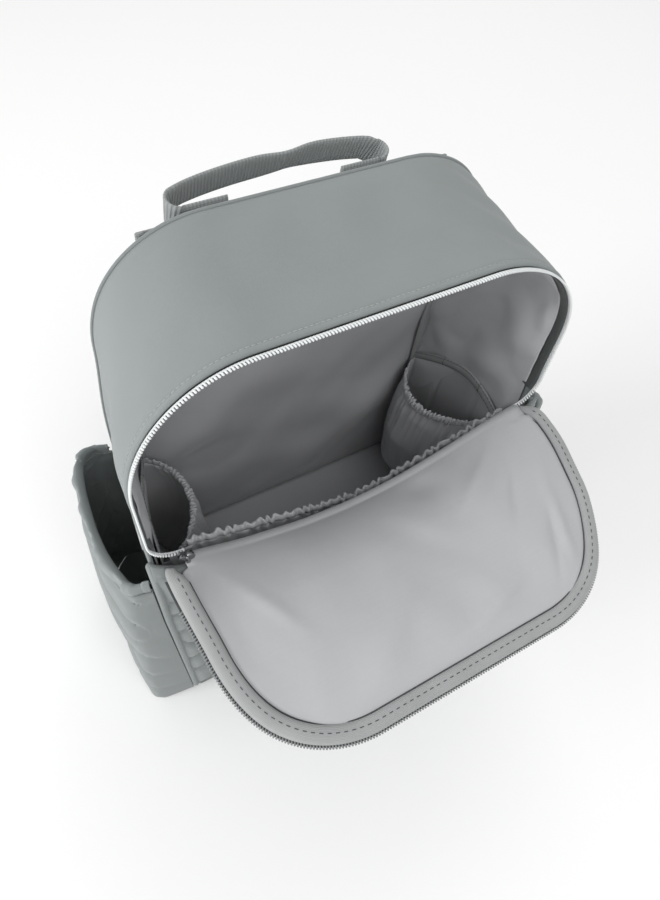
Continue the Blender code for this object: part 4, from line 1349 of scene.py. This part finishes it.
def flap_zip():
    """Dark tape and coil sewn round the flap's edge; the coil's darkness is painted shade."""
    path = flap_outline(-0.0002)[4:-4]
    line = flap_place(path[:, 0], path[:, 1], 0.0)
    section = np.array([(0.0026, -0.0016), (0.0005, -0.0022), (-0.0018, -0.0038), (-0.0060, -0.0046)])
    made = cloth("flap_zip_tape", sweep(line, section, FLAP_UP), "tape", 0.0006)
    crosses(made, "tape", "zip_tape_flap")
    path = flap_outline(-0.0024, TOOTH_PITCH)[16:-16]
    line = flap_place(path[:, 0], path[:, 1], -0.0012)
    tangent, side, over = frames(line, FLAP_UP)
    lean = unit(side + tangent * TOOTH_LEAN)
    axes = np.stack([lean, np.cross(over, lean), over], axis=1)
    # painted shade: the flap's coil is darkened for the shade under the flap's edge
    made = copies("flap_zip_teeth", capsule(0.0032, TOOTH_RADIUS, 6, TOOTH_FLAT), line, axes, "shaded_teeth")
    crosses(made, "teeth", "zip_teeth_flap")


# ---------------------------------------------------------------- handle and straps
HANDLE_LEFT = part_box("handle_loop")[0].x - 0.0003
HANDLE_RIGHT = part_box("handle_loop")[1].x + 0.0003
HANDLE_BEND = 0.0065
HANDLE_Z = 0.392
YOKE_Y = back_y(HANDLE_Z) + 0.0058


def webbing_section(width, thick):
    """Flat section with rounded selvedges: sideways is the thickness."""
    half, edge = width / 2, thick / 2
    up = np.array([-half, -half + edge * 0.8, -half * 0.6, 0, half * 0.6, half - edge * 0.8, half])
    side = np.array([edge * 0.25, edge, edge * 0.93, edge, edge * 0.93, edge, edge * 0.25])
    return np.concatenate([np.stack([side, up], 1), np.stack([-side[::-1], up[::-1]], 1)])


def handle():
    """Webbing carry handle, sewn flat at both ends and standing on edge behind the top."""
    far_lean = math.radians(22)
    far_z, width = 0.3985, 0.020
    points, leans = [], []

    def bend(edge_x, outward, share):
        turn = math.pi * share
        points.append((edge_x + outward * HANDLE_BEND * math.sin(turn), YOKE_Y + HANDLE_BEND * (1 - math.cos(turn)),
                       HANDLE_Z + (far_z - HANDLE_Z) * share))
        leans.append(BACK_ANGLE + (far_lean - BACK_ANGLE) * share)

    for share in np.linspace(0, 1, 12)[:-1]:
        points.append((-0.050 + (HANDLE_LEFT + 0.050) * share, YOKE_Y, HANDLE_Z))
        leans.append(BACK_ANGLE)
    for share in np.linspace(0, 1, 16):
        bend(HANDLE_LEFT, -1, share)
    for share in np.linspace(0, 1, 40)[1:-1]:
        x = HANDLE_LEFT + (HANDLE_RIGHT - HANDLE_LEFT) * share
        twist = bell(x, -0.004, 0.012)
        bow = math.sin(share * math.pi) ** 0.6
        points.append((x, YOKE_Y + 2 * HANDLE_BEND - 0.0012 * twist + 0.0065 * bow,
                       far_z + 0.0030 * bow + 0.0008 * math.tanh((x + 0.004) / 0.01)))
        leans.append(far_lean + 0.16 * twist)
    for share in np.linspace(1, 0, 16):
        bend(HANDLE_RIGHT, 1, share)
    for share in np.linspace(0, 1, 12)[1:]:
        points.append((HANDLE_RIGHT + (0.024 - HANDLE_RIGHT) * share, YOKE_Y, HANDLE_Z))
        leans.append(BACK_ANGLE)
    up = np.stack([np.zeros(len(leans)), -np.sin(leans), np.cos(leans)], axis=1)
    made = rod("handle_webbing", np.array(points), webbing_section(width, 0.0019), "webbing", up)
    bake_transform(made)
    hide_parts("handle_end_left", "handle_end_right", "handle_loop")
    for label, inner, outer in (("left", -0.052, HANDLE_LEFT + 0.002), ("right", 0.026, HANDLE_RIGHT - 0.002)):
        box_stitching("handle_stitches_" + label, (inner, YOKE_Y, HANDLE_Z), outer - inner, width - 0.005, 0.0011)


def box_stitching(name, edge, length, height, lift):
    """Box of stitches on the back with a diagonal across it, from the middle of its shorter edge."""
    low = np.array(edge) + BACK_OUT * lift - BACK_UP * height / 2
    across, rise = np.array([1.0, 0, 0]) * length, BACK_UP * height
    path = np.array([low, low + across, low + across + rise, low + rise, low, low + across + rise])
    made = stitches(name, resample(path, 0.0005), BACK_OUT, "thread", 0.0026, 0.0019, 0.00025)
    belongs(made, "bag_body", "webbing")


def back_panel():
    """Cloth of the back, the yoke across its top and the yoke's stitching; the ventilated pad is made by back_pad."""
    points, inside = back_grid(0.004, 0.0)
    edge = smooth(inside, 0.0, 0.006)
    points[..., 1] += 0.0004 + 0.0024 * edge + 0.0003 * waves(points, 0.06, 301) * edge
    made = cloth("back_cloth", points, "shell", 0.0016, 1.0)
    face_towards(made, (0, 1, 0))
    belongs(made, "bag_body", "shell", "back_shell")

    low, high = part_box("back_yoke")
    radius = CORNER_RADIUS - 0.006
    centre_x, centre_z = BACK_HALF - CORNER_RADIUS, BACK_HEIGHT - CORNER_RADIUS
    z = np.linspace(low.z, high.z, 26)[:, None]
    half = centre_x + np.sqrt(np.maximum(radius ** 2 - (z - centre_z) ** 2, 0))
    u = np.linspace(-1, 1, 121)[None, :]
    x = u * half
    rim = np.minimum((1 - np.abs(u)) * half, np.minimum(z - low.z, high.z - z))
    y = back_y(z) + 0.0030 + 0.0015 * smooth(rim, 0.0, 0.0022) - 0.0004 * bell(rim, 0.0045, 0.0008)
    made = cloth("yoke_cloth", joined(x, y, z), "shell", 0.0010, 1.0)
    face_towards(made, (0, 1, 0))
    belongs(made, "bag_body", "shell", "back_yoke")
    seam_z = low.z + 0.0045
    seam_x = np.linspace(-1, 1, 80) * (centre_x + math.sqrt(radius ** 2 - (seam_z - centre_z) ** 2) - 0.005)
    seam = joined(seam_x, back_y(seam_z) + 0.0044, seam_z)
    belongs(stitches("yoke_stitches", seam, (0, 1, 0)), "bag_body", "shell")


def slab(name, outline, centre_depth, thick, look, rounding):
    """Closed slab parallel to the back, from an outline (x, z), rounded at its edge."""
    outline = np.asarray(outline)
    middle = outline.mean(axis=0)
    size = np.linalg.norm(outline - middle, axis=1).mean()
    rings = []
    for angle in np.linspace(-math.pi / 2, math.pi / 2, 9):
        depth = centre_depth + math.sin(angle) * thick / 2
        inset = (1 - math.cos(angle)) * rounding
        loop = middle + (outline - middle) * (1 - inset / size)
        rings.append([(x, back_y(z) + depth, z) for x, z in loop])
    return closed_loft(name, np.array(rings), look)


PAD_PRESSURE = 4.0
PAD_CAP = 0.0050
PAD_VOXEL = 0.0042


def inflate(made):
    """Blow a closed pad up with a cloth simulation, and hold every point within a cap."""
    remesh = made.modifiers.new("voxels", "REMESH")
    remesh.mode = "VOXEL"
    remesh.voxel_size = PAD_VOXEL
    bake(made)
    made.data.materials.clear()
    rest = np.array([v.co for v in made.data.vertices])
    modifier = made.modifiers.new("cloth", "CLOTH")
    modifier.settings.use_pressure = True
    modifier.settings.uniform_pressure_force = PAD_PRESSURE
    modifier.settings.effector_weights.gravity = 0.0
    scene = bpy.context.scene
    for number in range(1, 21):
        scene.frame_set(number)
    graph = bpy.context.evaluated_depsgraph_get()
    blown = made.evaluated_get(graph).to_mesh()
    moved = np.array([v.co for v in blown.vertices]) - rest
    made.modifiers.clear()
    scene.frame_set(1)
    far = np.linalg.norm(moved, axis=1, keepdims=True)
    moved *= np.minimum(1.0, PAD_CAP / np.maximum(far, 1e-9))
    made.data.vertices.foreach_set("co", (rest + moved).astype(np.float32).ravel())


def finish_pad(made, look, place):
    """Subdivide a simulated pad once, give it flat cloth coordinates and its material."""
    modifier = made.modifiers.new("smooth", "SUBSURF")
    modifier.levels = modifier.render_levels = 1
    bake(made)
    made.data.materials.append(LOOKS[look])
    made.data.shade_smooth()
    points = np.array([v.co for v in made.data.vertices])
    set_place(made.data, place(points))


def sew(made, spots, width, depth, out):
    """Press channels into a pad's outer face along rows of spots, whatever their height over it."""
    out = Vector(out)
    tree = kdtree.KDTree(len(spots))
    for number, spot in enumerate(spots):
        place = Vector(spot)
        tree.insert(place - out * place.dot(out), number)
    tree.balance()
    for vertex in made.data.vertices:
        near = tree.find(vertex.co - out * vertex.co.dot(out))[2]
        facing = max(0.0, vertex.normal.dot(out))
        vertex.co -= out * depth * facing * math.exp(-(near / width) ** 2)


def back_pad():
    """Air mesh pad on the back: a simulated cushion with pressed channels and a bound edge."""
    low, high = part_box("back_pad")
    half, corner = high.x - 0.002, 0.05
    bottom, top = low.z + 0.002, high.z - 0.003
    angle = np.linspace(0, math.pi / 2, 14)
    right = [(half - 0.012 * (1 - math.sin(a)), bottom + 0.012 * (1 - math.cos(a))) for a in angle]
    right += [(half, z) for z in np.linspace(bottom + 0.02, top - corner - 0.01, 20)]
    right += [(half - corner + corner * math.cos(a), top - corner + corner * math.sin(a)) for a in angle]
    outline = right + [(-x, z) for x, z in right[::-1]]
    made = slab("back_cushion", outline, 0.0078, 0.0086, "mesh", 0.004)
    inflate(made)
    finish_pad(made, "mesh", lambda p: joined(p[:, 0], p[:, 2], 0.0))
    x = np.linspace(-half + 0.018, half - 0.018, 130)
    arc = 0.016 * np.cos(x * math.pi / half)
    lines = [joined(x, 0.0, z + arc) for z in np.linspace(bottom + 0.055, top - 0.075, 5)]
    lines += [joined(x, 0.0, np.linspace(bottom + 0.03, top - 0.05, 130)) for x in (-0.030, 0.030)]
    sew(made, np.concatenate(lines), 0.0075, 0.0052, (0, 1, 0))
    belongs(made, "bag_body", "mesh", "back_pad")
    path = np.array([(x, back_y(z) + 0.0046, z) for x, z in outline])
    middle = path.mean(axis=0)
    path = middle + (path - middle) * 1.004
    made = rod("back_cushion_piping", resample(path, 0.003), round_section(0.0017, 8), "shell", (0, 1, 0))
    belongs(made, "bag_body", "binding")


class Strap:
    """Line of a shoulder strap, from its sewn top to its sewn foot."""

    def __init__(self, side, sign):
        joint = JOINTS["strap_swing_" + side]
        self.side, self.sign = side, sign
        self.top = np.array(joint["pos_m"])
        axis = np.array(joint["axis"])
        foot_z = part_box("strap_webbing_lower_" + side)[0].z + 0.0012
        self.foot = self.top - axis * (self.top[2] - foot_z) / axis[2]
        self.out = BACK_OUT
        self.along = (self.foot - self.top) / np.linalg.norm(self.foot - self.top)
        self.across = np.cross(self.along, self.out)
        self.across /= np.linalg.norm(self.across)

    def middle(self, t, lift=0.0):
        """Points of the bowed line at shares t of its length."""
        t = np.asarray(t, float)[..., None]
        return self.top + (self.foot - self.top) * t + self.out * (0.028 * np.sin(math.pi * t) + lift)

    def ribbon(self, name, start, end, lift=0.0):
        """Stretch of the strap's webbing."""
        t = np.linspace(start, end, max(4, int((end - start) * 60)))
        made = rod(f"{name}_{self.side}", self.middle(t, lift), webbing_section(0.022, 0.0019), "webbing", self.across)
        return belongs(made, "strap_" + self.side, "webbing")


def strap(side, sign):
    """Shoulder strap: simulated pad with its seams, webbing, buckle and sewn tabs."""
    line = Strap(side, sign)
    body = "strap_" + side
    start, end = 0.103, 0.66
    t = np.linspace(start, end, 46)
    half = 0.0253 * np.minimum(1.0, np.minimum(0.5 + (t - 0.10) * 5, 0.55 + (end - t) * 5))
    angle = np.linspace(0, 2 * math.pi, 20, endpoint=False)
    cos, sin = np.cos(angle), np.sin(angle)
    wide = np.sign(cos) * np.abs(cos) ** 0.55
    deep = np.sign(sin) * np.abs(sin) ** 0.55
    middle = line.middle(t)
    rings = middle[:, None] + line.across * (half[:, None] * wide)[..., None]
    rings = rings + line.out * (0.0040 * deep)[None, :, None]
    made = closed_loft("strap_cushion_" + side, rings, "quilt")
    inflate(made)
    finish_pad(made, "quilt", lambda p: joined((p - line.top) @ line.across, (p - line.top) @ line.along, 0.0))
    seams = [line.middle(t[2:-2], 0.005) + line.across * (edge * (half[2:-2] - 0.0065))[:, None] for edge in (-1, 1)]
    sew(made, np.concatenate([resample(seam, 0.0015) for seam in seams]), 0.0022, 0.0016, line.out)
    belongs(made, body, "quilt", "strap_pad_" + side)
    for label, edge, seam in (("inner", -1, seams[0]), ("outer", 1, seams[1])):
        border = middle + line.across * (edge * (half + 0.0012))[:, None]
        belongs(rod(f"strap_piping_{label}_{side}", resample(border, 0.003), round_section(0.0016, 8), "shell",
                    line.out), body, "binding")
        belongs(stitches(f"strap_stitches_{label}_{side}", seam - line.out * 0.0012, line.out), body, "quilt")
    upper = line.ribbon("strap_upper_webbing", 0.0, start + 0.012)
    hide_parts("strap_webbing_upper_" + side)
    lower = line.ribbon("strap_lower_webbing", 0.672, 1.0)
    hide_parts("strap_webbing_lower_" + side)
    line.ribbon("strap_buckle_webbing", end - 0.030, 0.684, 0.0026)
    buckle(line, body, side)
    tab_lift = 0.0059
    for node, lift in (("strap_tab_", tab_lift), ("strap_base_tab_", 0.0052)):
        low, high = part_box(node + side)
        z = np.linspace(low.z, high.z, 8)
        path = joined((low.x + high.x) / 2, back_y(z) + lift, z)
        made = rod(node + "cloth_" + side, path, webbing_section(high.x - low.x, 0.0022), "webbing", (1, 0, 0))
        belongs(made, "bag_body", "webbing", node + side)
    low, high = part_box("strap_tab_" + side)
    z = (low.z + high.z) / 2
    box_stitching("strap_tab_stitches_" + side, (low.x + 0.003, back_y(z) + tab_lift, z), high.x - low.x - 0.006,
                  0.018, 0.0013)


def buckle(line, body, side):
    """Ladder buckle: two rails and three rounded bars."""
    first, last = 0.664, 0.698
    half = 0.0136
    nodes = ["strap_buckle_" + side]
    for label, edge in (("inner", -1), ("outer", 1)):
        t = np.linspace(first, last, 8)
        path = line.middle(t) + line.across * edge * half
        rail = rod(f"buckle_rail_{label}_{side}", path, round_section(0.0019, 10, 1.1), "plastic", line.out)
        belongs(rail, body, "plastic", *nodes)
        nodes = []
    for number, t in enumerate(np.linspace(first + 0.002, last - 0.002, 3)):
        spread_out = np.linspace(-half, half, 9)
        path = line.middle(np.full(9, t)) + line.across * spread_out[:, None]
        path += line.out * (0.0008 * np.cos(spread_out / half * math.pi / 2))[:, None]
        bar = rod(f"buckle_bar_{number}_{side}", path, round_section(0.0017, 10, 0.85), "plastic", line.out)
        belongs(bar, body, "plastic")


# ---------------------------------------------------------------- everything
camera()
studio()
LOOKS = materials()
frame["nodes"]["base_board"].data.materials.clear()
frame["nodes"]["base_board"].data.materials.append(LOOKS["board"])
gusset()
zip_coil()
linings()
front_pocket()
lower_front()
base_cloth()
fold_lining()
flap_outside()
flap_binding()
flap_zip()
handle()
back_panel()
back_pad()
for side_name, side_sign in SIDES:
    seam_binding(side_name, side_sign)
    inner_pocket(side_name, side_sign)
    slip_pocket(side_name, side_sign)
    side_pocket(side_name, side_sign)
    corner_piping(side_name, side_sign)
    strap(side_name, side_sign)
    slider(side_name)
